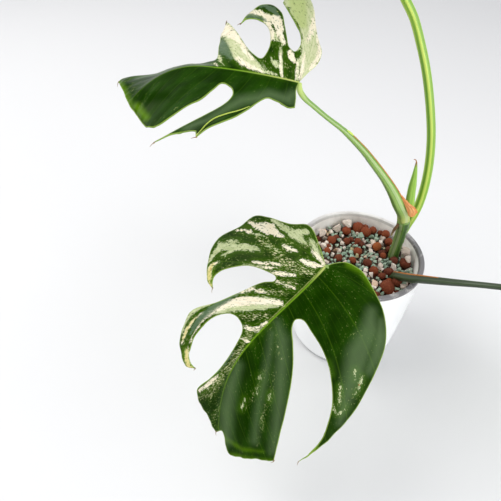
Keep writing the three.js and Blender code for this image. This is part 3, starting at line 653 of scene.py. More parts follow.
@dataclass(frozen=True)
class PotPlasticFinish:
    """Thin milky plastic: pale on the wall, with a grey, blotched, slightly worn lip whose grey fades towards the
    back, painted light on the far lip.
    """

    name: str
    lip_level: float
    wall: tuple = rgb(248, 245, 242)
    stain: tuple = rgb(222, 217, 213)
    lip: tuple = rgb(116, 114, 116)
    lip_worn: tuple = rgb(168, 165, 164)
    roughness: float = 0.36

    def material(self) -> Material:
        """Builds the finish.

        Returns:
            The material, placed by the object's own coordinates.
        """
        bench = Bench(self.name)
        place = bench.object_place()
        cloud = bench.noise(place, 42.0, 4.0, 0.6, 0.6)
        blotch = bench.noise(place, 130.0, 3.0, 0.6, 0.4)
        scuff = bench.noise(place, 700.0, 3.0, 0.6)
        wall = bench.lay(self.wall, self.stain, cloud, 0.4, 0.72)
        lip = bench.lay(self.lip, self.lip_worn, blotch, 0.5, 0.72)
        # Painted light: the lip's grey falls to a quarter towards the back, so the far lip looks lit.
        near = bench.between(bench.part(place, "Y"), 0.02, 0.07, 1.0, 0.25)
        at_lip = bench.times(near, bench.between(bench.part(place, "Z"), self.lip_level - 0.0012, self.lip_level))
        bench.set(Base_Color=bench.blend(at_lip, wall, lip), IOR=1.5)
        bench.set(Roughness=bench.scaled(scuff, 0.16, self.roughness - 0.08))
        bench.set(Normal=bench.bump(bench.plus(scuff, blotch), 0.12, 0.0004))
        return bench.material


@dataclass(frozen=True)
class GrainFinish:
    """Dry mineral grain: each grain has its own tone, with dust, and pores darkened with painted shade."""

    name: str
    dark: tuple
    light: tuple
    odd: tuple
    dust: tuple
    roughness: float = 0.85
    pore_scale: float = 900.0
    pore_depth: float = 0.0006
    odd_from: float = 0.8

    def material(self) -> Material:
        """Builds the finish.

        Returns:
            The material, which reads each grain's own draw from the mesh.
        """
        bench = Bench(self.name)
        place = bench.object_place()
        draw = bench.mark("draw")
        skin = bench.blend(draw, self.dark, self.light)
        skin = bench.lay(skin, self.odd, draw, self.odd_from, self.odd_from + 0.08)
        cloud = bench.noise(place, 260.0, 4.0, 0.65)
        skin = bench.lay(skin, self.dust, cloud, 0.52, 0.78, 0.0, 0.6)
        pores = bench.cells(place, self.pore_scale)
        # Painted shade in the pores: the grain's dark tone is laid into each one.
        skin = bench.lay(skin, self.dark, pores, 0.0, 0.3, 0.45, 0.0)
        bench.set(Base_Color=skin, Roughness=self.roughness, IOR=1.45)
        height = bench.scaled(bench.noise(place, 700.0, 4.0, 0.7), 0.6, pores)
        bench.set(Normal=bench.bump(height, 0.6, self.pore_depth))
        return bench.material


@dataclass(frozen=True)
class PaperyFinish:
    """Dry papery skin: fibres that run up it, some paler, with scorched blotches."""

    name: str
    body: tuple = rgb(222, 132, 66)
    pale: tuple = rgb(240, 184, 122)
    scorched: tuple = rgb(160, 88, 48)

    def material(self) -> Material:
        """Builds the finish.

        Returns:
            The material, which reads the fibre marks of the mesh.
        """
        bench = Bench(self.name)
        grain = bench.mark("grain", "Vector")
        fibres = bench.streaky(grain, (16.0, 16.0, 2.0), (0, 0, 0), 4.0, 0.65)
        blotch = bench.streaky(grain, (3.0, 3.0, 6.0), (0, 0, 0), 3.0)
        skin = bench.lay(self.body, self.pale, fibres, 0.35, 0.7)
        skin = bench.lay(skin, self.scorched, blotch, 0.55, 0.8)
        bench.set(Base_Color=skin, Roughness=0.6, IOR=1.4)
        bench.set(Normal=bench.bump(fibres, 0.6, 0.0008))
        return bench.material


# Leaf blades


class Tone(Enum):
    """What a marking paints on a blade, and the mesh mark that carries it."""

    SAGE = "sage"
    OLIVE = "olive"
    CREAM = "cream"
    DARK = "dark"
    # Grey-green marbling, and on the lower leaf painted sheen.
    GREY = "grey"
    LIME = "lime"
    # Painted sheen: grey-green bands that stand in for gloss on the blade.
    BLOOM = "bloom"
    RUST = "rust"
    STRAW = "straw"
    MATT = "matt"
    FLECK = "fleck"


Marks = dict[Tone, Sequence[Sequence[float]]]

# Each marking is a tapered streak on the flattened blade. Its numbers go in threes, one for each point:
# the place along the midrib, the place across it and the streak's half width there.
LOWER_LEAF_MARKS: Marks = {
    Tone.SAGE: [
        (-2.5, -8, 1.2, -5.5, -14, 2.2, -9, -21, 1.8, -11, -25, 1),
        (-14.5, -30, 1.8, -12.5, -34, 2.8, -9.5, -38, 3),
        (-6, -26, 1.4, -6, -32, 3.2, -6, -40, 3.3, -6.2, -48, 2.8, -6.8, -56, 2.2, -6.5, -65, 1.4),
        (21.5, -55, 0.8, 22.8, -61, 1.8, 25.5, -67.5, 2.7, 29, -74, 3, 32.5, -80, 3.3, 36, -87, 3.8, 39, -93, 4,
         37.5, -97.5, 1.4), (40, -92, 3, 46, -93.5, 3.2, 52, -93.8, 2.2, 56, -93, 0.8),
        (32, -76, 1.2, 37, -79.5, 1.4, 42, -83, 1.5, 46, -88, 0.8), (26, -80, 0.7, 29, -85, 1.4, 32, -90, 0.8),
        (30, -40, 0.7, 34, -48, 1.4, 38, -55, 2.1, 41.5, -61, 1), (12, -38, 0.4, 14, -46, 0.6, 15, -54, 0.4),
        (9, -62, 0.4, 12, -70, 0.7, 14, -77, 0.4),
        (47, -12, 1.8, 50.5, -17, 3.8, 55, -24, 5.2, 60, -31, 5.8, 67, -39.5, 6.4, 74.5, -48, 5.2, 83, -55, 3.2,
         90, -59.5, 1.4),
        (72, -57, 0.8, 82, -65, 1.6, 92, -73, 2.4, 101, -77.5, 2.2, 112, -79, 1.2, 122, -76.5, 0.6),
        (66, -53.5, 0.6, 76, -61, 0.8, 86, -70, 0.8), (60, 77.5, 0.6, 65, 80, 0.9, 71, 82, 0.8, 78, 82.5, 0.5),
        (58.4, 70, 0.4, 62, 72, 0.5, 66, 74.5, 0.4), (98, 71.5, 0.5, 100.5, 73.5, 0.7, 104, 77, 0.4),
        (67, 46.5, 0.4, 70, 50, 0.6, 73.5, 54, 0.5), (117.5, 10, 0.5, 120, 10.8, 0.7, 124, 12, 0.4),
        (79, 67.5, 0.4, 86, 71.5, 0.5, 91, 74.5, 0.7, 94, 76.5, 0.4),
        (93, 81.9, 0.5, 98, 82.3, 0.7, 104, 80.5, 0.5), (118, 21.3, 0.4, 120, 21.9, 0.5, 123, 22.8, 0.4),
        (108, 6.5, 0.4, 110, 7.2, 0.5, 113, 8.4, 0.4), (134, 5.4, 0.3, 138, 6, 0.5, 144, 7, 0.4)],
    Tone.CREAM: [
        (0.3, -1.5, 0.8, -1.4, -6, 1.5, -2.8, -12, 1.8, -3.4, -17, 0.8),
        (2.2, -2.5, 0.9, 4.8, -8, 2.3, 6.8, -14, 2.7, 8.4, -19.5, 1.2),
        (3.4, -27, 0.8, 5, -32, 1.8, 6, -37, 1.8, 6.3, -41.5, 0.8),
        (-1.2, -45, 0.7, 1.2, -50, 1.7, 1.4, -56, 3.4, 1.4, -61.5, 5.4, 2.6, -67, 5.1, 4.6, -73, 3.3, 6.2, -78, 1.3,
         6.8, -80.5, 0.5), (4.6, -79, 0.6, 6, -82, 1.2, 7.2, -85.5, 0.5),
        (12, -75, 0.6, 13.6, -80, 1.3, 16, -85, 1.1, 19, -91, 0.5),
        (21, -15.5, 0.8, 24, -21, 1.5, 27, -26, 1.6, 29.4, -31, 1.4, 30.4, -35, 0.6),
        (30.4, -10, 0.7, 31.6, -14, 1.2, 33, -18, 0.8), (31.8, -19.5, 0.5, 33.6, -23, 0.7, 34.6, -26, 0.4),
        (19.5, -29, 0.5, 24, -38, 1, 29, -46, 1.2, 33, -54, 0.8), (25, -33, 0.4, 30, -41, 0.5, 35, -50, 0.5),
        (46.5, -12, 1.5, 49.6, -17, 2.2, 53.6, -24, 2.7, 58.6, -32, 3, 65, -41, 3.8, 73, -50, 3.4, 82, -56.2, 2.6,
         90, -60.5, 1.8, 100, -63.6, 1, 112, -65.2, 0.7, 124, -64, 0.5),
        (67, -12.5, 0.8, 70.5, -14.5, 1.4, 74, -15.5, 1, 76, -18, 0.6),
        (76.5, -14.5, 0.9, 78.5, -19, 1.5, 80.5, -24, 1.2, 82, -28, 0.7),
        (88.5, -15.5, 0.6, 90, -19, 0.9, 90.8, -24, 0.5), (47.5, -29, 0.7, 49.2, -33, 1.3, 51.6, -37, 0.9),
        (51, -39.5, 1, 54.5, -43, 1.6, 58.5, -46.3, 1, 64, -49.5, 0.5),
        (130, -24.5, 0.6, 138, -27, 1.5, 145, -29.5, 1.9, 150, -32, 1.2, 154, -34, 0.6),
        (95, -67.5, 0.7, 104, -71.5, 1.2, 114, -73.5, 1.5, 124, -72.5, 1.4, 131, -69.5, 0.7),
        (127, -65.5, 0.8, 133, -62.5, 2.2, 139, -58.5, 2.6, 142, -53, 2.2, 141, -48.5, 1),
        (52, -84.5, 1, 56, -87.5, 1.9, 61, -88, 2.2, 66, -84, 2.3, 70, -79.5, 1.6, 72.3, -75, 0.8)],
    Tone.STRAW: [
        (56, -88, 1, 64, -86, 2.5, 70, -80, 2.5, 73, -74, 2),
        (130, -65, 1, 137, -61, 2.5, 142, -55, 3, 141, -48, 2), (100, -71, 0, 112, -74, 1, 126, -72, 1)],
    # Painted sheen along the folded strip of one lobe and along a lobe edge near the apex.
    Tone.GREY: [
        (61, -47.5, 0.8, 70, -53.6, 2.4, 80, -58.8, 3.4, 90, -62.6, 2.9, 100, -66.6, 2.7, 110, -68.2, 2.2,
         117, -68, 1.2), (104, -23.8, 0.8, 116, -24.8, 1.2, 128, -27.6, 1.2, 140, -32.2, 1.3, 150, -35.6, 0.8)],
    Tone.DARK: [
        (1.3, -5, 0.5, 1.8, -12, 0.7, 1.6, -20, 0.7), (-1.2, -20, 1, -0.6, -30, 1.7, -0.6, -40, 1.4, -2, -46, 0.6),
        (40, -83.5, 0.8, 43.5, -87, 1.5, 47.5, -89.5, 1.5, 52, -89.8, 0.8), (-16, -37, 0.9, -14.5, -40, 1.2),
        (108, -67, 1.2, 118, -67.6, 2.3, 126, -66.5, 1.8, 131, -64, 0.7),
        (127, -68, 1, 132, -68.5, 1.7, 137, -66.5, 1.3, 141, -62, 0.7),
        (88, -66.5, 0.7, 97, -71.5, 0.9, 108, -76, 0.8)],
    Tone.LIME: [
        (177, 50, 0.5, 184, 36, 0.5, 190, 20, 0.5), (146, 79, 1, 158, 75, 2, 165, 72, 2),
        (171, -6, -3.5, 177, 8, -1.8, 178, 24, -1.2, 170, 41, -2.6), (134, -63, 1.5, 141, -56, 2, 141, -48, 2),
        (60, -87, 1, 67, -83, 2, 72, -76, 2), (-13, 14, 0.2, -15, 26, 0.2, -10, 42, 0.2)],
    Tone.MATT: [
        (3, 7, 2, 12, 14, 5, 26, 10, 5, 40, 6, 3), (96, 0, 2, 125, 8, 5, 142, 13, 5, 160, 22, 4)],
    # Painted sheen in bands along the lower leaf's lobes.
    Tone.BLOOM: [
        (8, 52, 3, 22, 60, 7, 44, 64, 9, 66, 72, 7, 90, 80, 4, 112, 86, 1),
        (10, 63, 2, 20, 70, 5, 36, 77, 5, 52, 80, 3),
        (62, -5, 1, 72, 6, 4, 86, 15, 4, 106, 25, 4, 130, 36, 3, 165, 48, 2),
        (72, -4, 1, 90, 4, 1, 112, 12, 1, 138, 20, 1, 165, 30, 1),
        (112, -14, 2, 132, -10, 4, 152, -4, 5, 178, 8, 4)],
    Tone.RUST: [
        (68, 80, 0.7, 69, 81, 0.5), (60, -87, 0.5, 61, -86, 0.5)],
    Tone.FLECK: [
        (-12, -14, 5, -2, -28, 4), (12, -6, 3, 17, -18, 6, 16, -34, 6, 15, -50, 5, 13, -66, 4),
        (26, -12, 3, 34, -24, 4, 34, -40, 4, 38, -52, 3), (38, -12, 3, 44, -24, 4, 50, -34, 3),
        (62, -16, 4, 70, -26, 5, 76, -34, 3), (84, -20, 5, 110, -19, 5, 150, -24, 5, 160, -30, 3),
        (60, 77, 4, 80, 84, 6, 96, 82, 5, 106, 80, 4), (66, 60, 3, 80, 68, 4, 92, 74, 5, 106, 80, 3),
        (84, 2, 3, 100, 6, 4, 122, 10, 4, 146, 10, 3), (98, 16, 3, 120, 22, 4, 146, 28, 4, 168, 34, 3),
        (57, 69, 1.6, 63, 73, 1.4), (112, 23, 2, 135, 27, 3, 152, 30, 2), (77, 4, 3, 86, 14, 3),
        (66, -8, 2, 77, -4, 2), (150, 42, 2, 172, 47, 2)],
}

UPPER_LEAF_MARKS: Marks = {
    Tone.SAGE: [
        (-4, -6, 3, -7, -20, 8, -8, -34, 11, -7, -50, 10, -3, -68, 12, 0, -86, 15, 0, -106, 15),
        (2, -2, 1.5, 2.5, -10, 2, 1.5, -20, 1.6, 0, -27, 0.8),
        (15.5, -2, 1.5, 16.5, -10, 2, 17.5, -20, 1.8, 18, -30, 1), (20, -10, 1.5, 22.5, -14, 3, 25, -18, 1.5),
        (20, -2.5, 1, 27, -3, 1.4, 34, -3, 1.8), (29, -4, 1.2, 34, -8, 2.6, 39, -11, 3, 43, -14, 2),
        (32, -2.5, 1.5, 40, -6, 4, 47, -10, 6, 52, -16, 6.8, 55, -25, 5.8, 59, -36, 4, 62, -48, 3, 64, -60, 1.5),
        (16, -35, 2, 20, -42, 6, 22, -52, 7.4, 23, -60, 6), (26, -38, 2.6, 28, -47, 3.2, 31, -56, 3.2),
        (29, -61, 3.4, 38, -62, 4, 46, -59, 2.4), (66, -4, 0.8, 68, -14, 1, 69, -24, 0.6)],
    Tone.OLIVE: [
        (0, -64, 6, 2, -90, 9, 2, -106, 9)],
    Tone.CREAM: [
        (-9, -16, 1.2, -15.5, -27, 2.2, -18.5, -38, 2.2, -17, -52, 1.6, -15, -72, 1.2, -14, -92, 0.8),
        (-6, -44, 1, -9, -54, 2, -12, -64, 2.6, -13, -76, 1.8),
        (0, -3, 1, -2, -12, 1.8, -3, -22, 1.6, -4, -32, 0.8), (3, -3, 0.8, 3.4, -10, 0.9, 2.6, -18, 0.7),
        (5, -18.5, 1.2, 8.5, -21.5, 3.4, 9.5, -27, 3, 8.5, -30, 1), (15.5, -2, 1, 17, -12, 1.2, 18.3, -24, 1),
        (14.5, -36, 1.5, 18, -43, 4.2, 20.5, -52, 5.6, 21.5, -60, 5.2, 20, -65, 1.6),
        (26, -36, 1.8, 27, -45, 3, 29.5, -55, 3.4, 31, -60, 2),
        (29, -61, 2.5, 36, -62.5, 3, 44, -61, 2.4, 49, -58, 1),
        (34, -3, 1.2, 42, -4.5, 2.2, 49, -7, 2.4, 54, -12, 1.6),
        (42, -13, 1.6, 48, -20, 2.4, 53.5, -30, 2.6, 58.5, -41, 3.2, 62, -52, 3.6, 64, -62, 2.6, 64.5, -73, 1.4),
        (70, -3, 0.6, 73, -9, 0.7)],
    Tone.DARK: [
        (5.5, -4, 1.3, 8, -9, 3.4, 9, -15, 2.7, 12.2, -21, 1.5, 14, -29, 1.6, 12.5, -35, 0.9),
        (13, -3, 1.2, 13.8, -12, 1, 14.6, -22, 1), (20, -4.5, 0.9, 25, -8, 1.6, 30, -11, 1.4),
        (23, -18, 2.4, 24.5, -24, 4.4, 23.5, -30, 4.2, 19.5, -34.5, 1.7),
        (29.3, -4.5, 0.7, 33, -8.5, 1, 37, -12.5, 1.1, 40, -15.5, 0.6), (1.5, -25, 1.1, 0.8, -31, 1.6, 0, -37, 0.8),
        (-1, -46, 0.9, 2, -56, 1.8, 7, -68, 2, 12, -79, 1.6), (57, -3, 2.2, 61, -7, 3.2, 65, -9, 1.6),
        (21.8, -44, 0.7, 24, -48, 0.9, 26, -52, 0.7), (13, -40, 0.7, 14.5, -45, 0.8, 15, -50, 0.6),
        (19.5, -38, 0.5, 20, -42, 0.5)],
    Tone.GREY: [
        (59.5, -12, 2, 62.5, -20, 2.8, 64.5, -30, 3.2, 66, -39, 2.3, 67, -47, 1),
        (20.5, -66, 1.4, 25, -71, 3.7, 32, -73, 2.9, 40, -70.5, 1.7, 44, -68, 0.8),
        (31, -55, 1, 38, -57.5, 2.2, 45, -57, 2.6, 51, -52.5, 2)],
    Tone.LIME: [
        (143, 42, 1, 147, 30, 1.5, 152, 14, 1.5, 159, -4, 1), (128, 56, 0.5, 136, 44, 1), (50, -52, 1, 53, -49, 1)],
    Tone.MATT: [
        (112, 34, 4, 128, 36, 6, 144, 26, 9, 150, 10, 7)],
    # Painted sheen on the upper leaf's near half and near its apex.
    Tone.BLOOM: [
        (6, 16, 3, 12, 24, 5, 26, 22, 4, 36, 28, 4, 50, 34, 4, 62, 46, 3, 78, 64, 2, 94, 75, 2),
        (84, -8, 6, 100, -14, 9, 118, -12, 8, 138, -6, 4)],
    Tone.FLECK: [
        (102, 49, 3, 110, 53, 2), (114, 58, 3, 122, 62, 2), (128, 38, 4, 138, 46, 3), (7, 8, 3, 10, 31, 3),
        (4, -8, 3, 14, -14, 4, 24, -12, 4), (18, -42, 4, 24, -60, 4), (58, -12, 4, 66, -34, 3),
        (88, -6, 4, 98, -16, 5, 110, -22, 4)],
}


@dataclass(frozen=True)
class BladeForm:
    """Where a blade is and how it bends, as in the CAD source: millimetres and degrees."""

    joint: Point3
    heading: float
    rise: float
    rate: float
    bank: float
    twist: float
    fold_left: Keys
    fold_right: Keys
    curl_left: float
    curl_right: float
    length: float
    bow: float = 0.0
    hook: float = 0.0
    hook_at: float = 80.0
    drop: float = 0.0
    drop_at: float = 0.0

    def middle(self, u: np.ndarray) -> np.ndarray:
        """Returns the midrib's side step at lengths along the flattened blade."""
        share = np.clip(u / self.length, 0.0, 1.0)
        past = np.maximum(0.0, u - self.hook_at) / (self.length - self.hook_at)
        return self.bow * np.sin(math.pi * share ** 1.5) + self.hook * past ** 2

    def place(self, u: np.ndarray, v: np.ndarray) -> np.ndarray:
        """Bends points of the flattened blade into their places.

        Args:
            u: Lengths along the midrib.
            v: Distances across it.

        Returns:
            The places, one in each row.
        """
        run = np.linspace(-120.0, 260.0, 1521)
        past = np.maximum(0.0, run - self.drop_at) / 100
        slopes = np.radians(self.rise + self.rate * run / 100 + self.drop * past ** 2)
        step = run[1] - run[0]
        out = np.concatenate([[0], np.cumsum((np.cos(slopes[1:]) + np.cos(slopes[:-1])) / 2 * step)])
        up = np.concatenate([[0], np.cumsum((np.sin(slopes[1:]) + np.sin(slopes[:-1])) / 2 * step)])
        out -= np.interp(0.0, run, out)
        up -= np.interp(0.0, run, up)
        slope = np.interp(u, run, slopes)[:, None]
        turn = math.radians(self.heading)
        forward = np.array([math.cos(turn), math.sin(turn), 0.0])
        level = np.array([-math.sin(turn), math.cos(turn), 0.0])
        vertical = np.array([0.0, 0.0, 1.0])
        lift = np.cos(slope) * vertical - np.sin(slope) * forward
        bank = np.radians(self.bank + self.twist * u / 100)[:, None]
        across = np.cos(bank) * level + np.sin(bank) * lift
        above = np.cos(bank) * lift - np.sin(bank) * level
        middle = self.middle(u)
        side = np.where(v > middle, 1.0, -1.0)
        reach = np.abs(v - middle)
        fold = np.radians(np.where(side > 0, self.folded(self.fold_left, u), self.folded(self.fold_right, u)))
        curl = np.radians(np.where(side > 0, self.curl_left, self.curl_right)) / 100
        sideways = (np.sin(fold + curl * reach) - np.sin(fold)) / curl
        height = (np.cos(fold) - np.cos(fold + curl * reach)) / curl
        return (np.array(self.joint) + np.interp(u, run, out)[:, None] * forward
                + np.interp(u, run, up)[:, None] * vertical
                + (middle + side * sideways)[:, None] * across + height[:, None] * above)

    @staticmethod
    def folded(keys: Keys, u: np.ndarray) -> np.ndarray:
        """Finds a fold's angle, with soft steps between its keys.

        Args:
            keys: Lengths along the midrib with the angles there, in degrees.
            u: Lengths along the midrib.

        Returns:
            The angles in degrees.
        """
        angle = np.full_like(u, keys[0][1], dtype=float)
        for (start, low), (end, high) in zip(keys, keys[1:]):
            angle += (high - low) * soft_step((u - start) / (end - start))
        return angle

    def normals(self, u: np.ndarray, v: np.ndarray) -> np.ndarray:
        """Finds the upward normals of the bent sheet.

        Args:
            u: Lengths along the midrib.
            v: Distances across it.

        Returns:
            The normals, one in each row.
        """
        nudge = 0.6
        along = self.place(u + nudge, v) - self.place(u - nudge, v)
        side = np.where(v > self.middle(u), 1.0, -1.0)
        across = (self.place(u, v + side * nudge) - self.place(u, v)) * side[:, None]
        return unit(np.cross(along, across))


@dataclass(frozen=True)
class VeinPlan:
    """How side veins leave the midrib: angles from it in degrees, and how they bow forward."""

    first_angle: float = 96.0
    last_angle: float = 30.0
    back_angle: float = 172.0
    sweep: float = 0.3
    spacing: float = 17.0

    def start_angle(self, origin: np.ndarray, length: float) -> np.ndarray:
        """Finds the angles at which veins leave the midrib.

        Args:
            origin: Where they leave it, as lengths along it.
            length: The midrib's length.

        Returns:
            The angles from the midrib's forward direction, in degrees.
        """
        ahead = np.clip(origin / length, 0.0, 1.0) ** 0.55
        behind = np.clip(-origin / 60.0, 0.0, 1.0)
        angle = self.first_angle + (self.last_angle - self.first_angle) * ahead
        return angle + (self.back_angle - self.first_angle) * behind

    def locate(self, u: np.ndarray, reach: np.ndarray, length: float) -> tuple:
        """Finds the vein that passes each point.

        Args:
            u: Lengths along the midrib.
            reach: Distances from the midrib.
            length: The midrib's length.

        Returns:
            Where each vein leaves the midrib, and how far along it the point lies.
        """
        low = np.full_like(u, -60.0)
        high = np.maximum(u, 0.0) + 1e-3
        for _ in range(26):
            origin = (low + high) / 2
            start = np.maximum(origin, 0.0)
            far = np.hypot(u - start, reach)
            seen = np.degrees(np.arctan2(reach, u - start))
            bow = self.sweep * far * 0.5 * (1 - 0.6 * start / length)
            ahead = seen > self.start_angle(origin, length) - bow
            high = np.where(ahead, origin, high)
            low = np.where(ahead, low, origin)
        origin = (low + high) / 2
        return origin, np.hypot(u - np.maximum(origin, 0.0), reach)


@dataclass
class Blade:
    """One leaf blade: its form, outline, markings and relief."""

    name: str
    node: str
    form: BladeForm
    left: Outline
    right: Outline
    markings: Marks
    finish: BladeFinish
    fleck_left: float = 0.0
    fleck_right: float = 0.0
    veins: VeinPlan = VeinPlan()
    dry_tips: Outline = ()
    thickness: float = 0.7
    grid: float = 1.35
    quilt: float = 0.3
    rib_depth: float = 1.5
    foot_reach: float = 22.0
    pale_rib: float = 0.0
    mark_limit: float = 7.0

    def half(self, points: Outline) -> np.ndarray:
        """Samples one half's outline from corner to corner.

        Args:
            points: Its points; one that holds a third number is a corner.

        Returns:
            The samples, one in each row.
        """
        samples = []
        start = 0
        for end in range(1, len(points)):
            if len(points[end]) > 2:
                stretch = np.array([point[:2] for point in points[start:end + 1]], float)
                samples.append(centripetal(stretch, self.grid * 0.8)[:-1])
                start = end
        samples.append(np.array([points[-1][:2]], float))
        return np.vstack(samples)

    def flat_mesh(self) -> tuple:
        """Fills the outline with fine triangles that keep the midrib as edges.

        Returns:
            The flat points, the triangles and the closed outline.
        """
        left, right = self.half(self.left), self.half(self.right)
        outline = np.vstack([right, left[::-1][1:-1]])
        apex = outline[len(right) - 1]
        rib_u = np.arange(self.grid, apex[0] - self.grid * 0.5, self.grid)
        rib = np.stack([rib_u, self.form.middle(rib_u)], 1)
        beside = np.vstack([rib + (0.0, step) for step in (-1.4, -0.6, 0.6, 1.4)])
        low, high = outline.min(0), outline.max(0)
        rows = np.arange(low[1], high[1], self.grid * 0.866)
        inner = []
        for index, v in enumerate(rows):
            u = np.arange(low[0] + (index % 2) * self.grid / 2, high[0], self.grid)
            inner.append(np.stack([u, np.full_like(u, v)], 1))
        inner = np.vstack(inner)
        starts, ends = outline, np.roll(outline, -1, 0)
        inner = inner[self.inside(inner, starts, ends)]
        gap = nearest_on_segments(inner, starts, ends)[0].min(1)
        off_rib = np.abs(inner[:, 1] - self.form.middle(inner[:, 0]))
        near_rib = (off_rib < 2.0) & (inner[:, 0] > 0)
        inner = inner[(gap > self.grid * 0.55) & ~near_rib]
        rib = rib[self.inside(rib, starts, ends)]
        beside = beside[self.inside(beside, starts, ends)]
        beside = beside[nearest_on_segments(beside, starts, ends)[0].min(1) > self.grid * 0.55]
        points = np.vstack([outline, rib, beside, inner])
        count = len(outline)
        chain = [0] + list(range(count, count + len(rib))) + [len(right) - 1]
        edges = list(zip(chain, chain[1:]))
        vertices = [Vector(point) for point in points]
        made = delaunay_2d_cdt(vertices, edges, [list(range(count))], 1, 1e-5)
        flat = np.array([tuple(vertex) for vertex in made[0]])
        triangles = []
        for a, b, c in made[2]:
            ab, ac = flat[b] - flat[a], flat[c] - flat[a]
            turn = ab[0] * ac[1] - ab[1] * ac[0]
            if abs(turn) > 1e-6:
                triangles.append((a, b, c) if turn > 0 else (a, c, b))
        return flat, triangles, outline

    @staticmethod
    def inside(points: np.ndarray, starts: np.ndarray, ends: np.ndarray) -> np.ndarray:
        """Says which points lie inside a closed outline.

        Args:
            points: Points in the plane, one in each row.
            starts: Where the outline's segments start.
            ends: Where they end.

        Returns:
            True for each point inside.
        """
        x, y = points[:, :1], points[:, 1:2]
        crosses = (starts[:, 1] > y) != (ends[:, 1] > y)
        rise = np.where(np.abs(ends[:, 1] - starts[:, 1]) < 1e-9, 1e-9, ends[:, 1] - starts[:, 1])
        at = (ends[:, 0] - starts[:, 0]) * (y - starts[:, 1]) / rise + starts[:, 0]
        return (crosses & (x < at)).sum(1) % 2 == 1

    def painted(self, flat: np.ndarray, tone: Tone) -> np.ndarray:
        """Finds how far inside a tone's streaks points lie.

        Args:
            flat: The points of the flattened blade.
            tone: What the streaks paint.

        Returns:
            The distances in millimetres, less than 0 outside, held to mark_limit either way.
        """
        ends = []
        for streak in self.markings.get(tone, ()):
            points = np.reshape(np.array(streak, float), (-1, 3))
            ends.append(np.hstack([points[:-1], points[1:]]))
        if not ends:
            return np.full(len(flat), -self.mark_limit)
        ends = np.vstack(ends)
        distance, share = nearest_on_segments(flat, ends[:, :2], ends[:, 3:5])
        width = ends[:, 2] + (ends[:, 5] - ends[:, 2]) * share
        return np.clip((width - distance).max(1), -self.mark_limit, self.mark_limit)

    def shell(self) -> Shell:
        """Builds the blade.

        Returns:
            A closed sheet with the marks that the finish reads.
        """
        flat, triangles, outline = self.flat_mesh()
        u, v = flat[:, 0], flat[:, 1]
        middle = self.form.middle(u)
        side = np.where(v > middle, 1.0, -1.0)
        reach = np.abs(v - middle)
        origin, along = self.veins.locate(u, reach, self.form.length)
        edge = nearest_on_segments(flat, outline, np.roll(outline, -1, 0))[0].min(1)
        phase = origin / self.veins.spacing + np.where(side > 0, 0.35, 0.0)
        vein_gap = np.abs(phase - np.round(phase)) * self.veins.spacing
        side_vein = np.exp(-(vein_gap / 1.0) ** 2) * soft_step(along / 20) * (u > 2)
        fade = soft_step(along / 25) * soft_step(edge / 9)
        uneven = 0.6 + 0.5 * np.sin(origin * 0.23 + along * 0.06 + side) * np.sin(along * 0.11 + origin * 0.05)
        relief = self.quilt * (np.cos(2 * math.pi * (phase - 0.5)) * 0.5 + 0.1) * fade * uneven
        relief += self.quilt * 0.9 * np.sin(along * 0.17 + origin * 0.09 + 2 * side) * fade
        relief -= 0.14 * side_vein
        ahead = np.clip(u / (self.form.length * 1.1), 0.0, 1.0) * (u > 0)
        rib = np.exp(-(reach / (1.2 - 0.6 * ahead)) ** 2) * (u > -1)
        relief -= 0.4 * rib * (1 - ahead)
        relief += 0.22 * np.exp(-((reach - 1.9) / 0.9) ** 2) * (1 - ahead) * (u > 0)
        ripple = np.sin(origin * 0.31 + along * 0.05) + 0.6 * np.sin(origin * 0.57 + 2.0)
        relief += 0.45 * ripple * np.exp(-edge / 7.0) * soft_step(along / 20)
        relief -= 0.3 * np.exp(-(edge / 0.8) ** 2)
        normals = self.form.normals(u, v)
        sheet = self.form.place(u, v)
        top = sheet + normals * (relief + self.thickness / 2)[:, None]
        depth = self.thickness / 2 + self.rib_depth * rib * (1 - ahead) + 0.3 * side_vein
        bottom = sheet + normals * (relief - depth)[:, None]
        count = len(flat)
        faces = [(a, b, c) for a, b, c in triangles]
        faces += [(a + count, c + count, b + count) for a, b, c in triangles]
        directed = {(face[k], face[(k + 1) % 3]) for face in triangles for k in range(3)}
        for a, b in directed:
            if (b, a) not in directed:
                faces.append((a, a + count, b + count, b))
        tips = np.array([tip[:2] for tip in self.dry_tips], float).reshape(-1, 2)
        dry = np.zeros(count)
        if len(tips):
            dry = np.exp(-np.linalg.norm(flat[:, None] - tips[None], axis=2).min(1) / 2.6)
        pale_line = np.exp(-((reach - 1.25) / 0.34) ** 2)
        twice = {tone.value: self.painted(flat, tone) for tone in Tone}
        twice["fleck"] = np.where(side > 0, self.fleck_left, self.fleck_right) + np.clip(twice["fleck"], 0, 3) / 4.5
        twice.update({
            "vein": np.stack([origin, along, side * 2], 1),
            "phase": phase,
            "rim": edge,
            "rib": rib,
            # Fades the midrib's colour towards the apex: painted shade over its far part.
            "rib_seen": 0.95 - 0.7 * soft_step((u - 0.5 * self.form.length) / (0.35 * self.form.length)),
            "foot": 1 - soft_step(u / self.foot_reach),
            "rib_pale": pale_line * (side == self.pale_rib) * (1 - soft_step((u - 60) / 40)),
            "dry": dry,
        })
        marks = {name: np.concatenate([values, values]) for name, values in twice.items()}
        marks["under"] = np.concatenate([np.zeros(count), np.ones(count)])
        return Shell(np.vstack([top, bottom]), faces, marks)

    def build(self) -> Piece:
        """Builds and dresses the blade, and returns its object."""
        return place_piece(self.name, self.shell(), self.finish.material(), (self.node,))


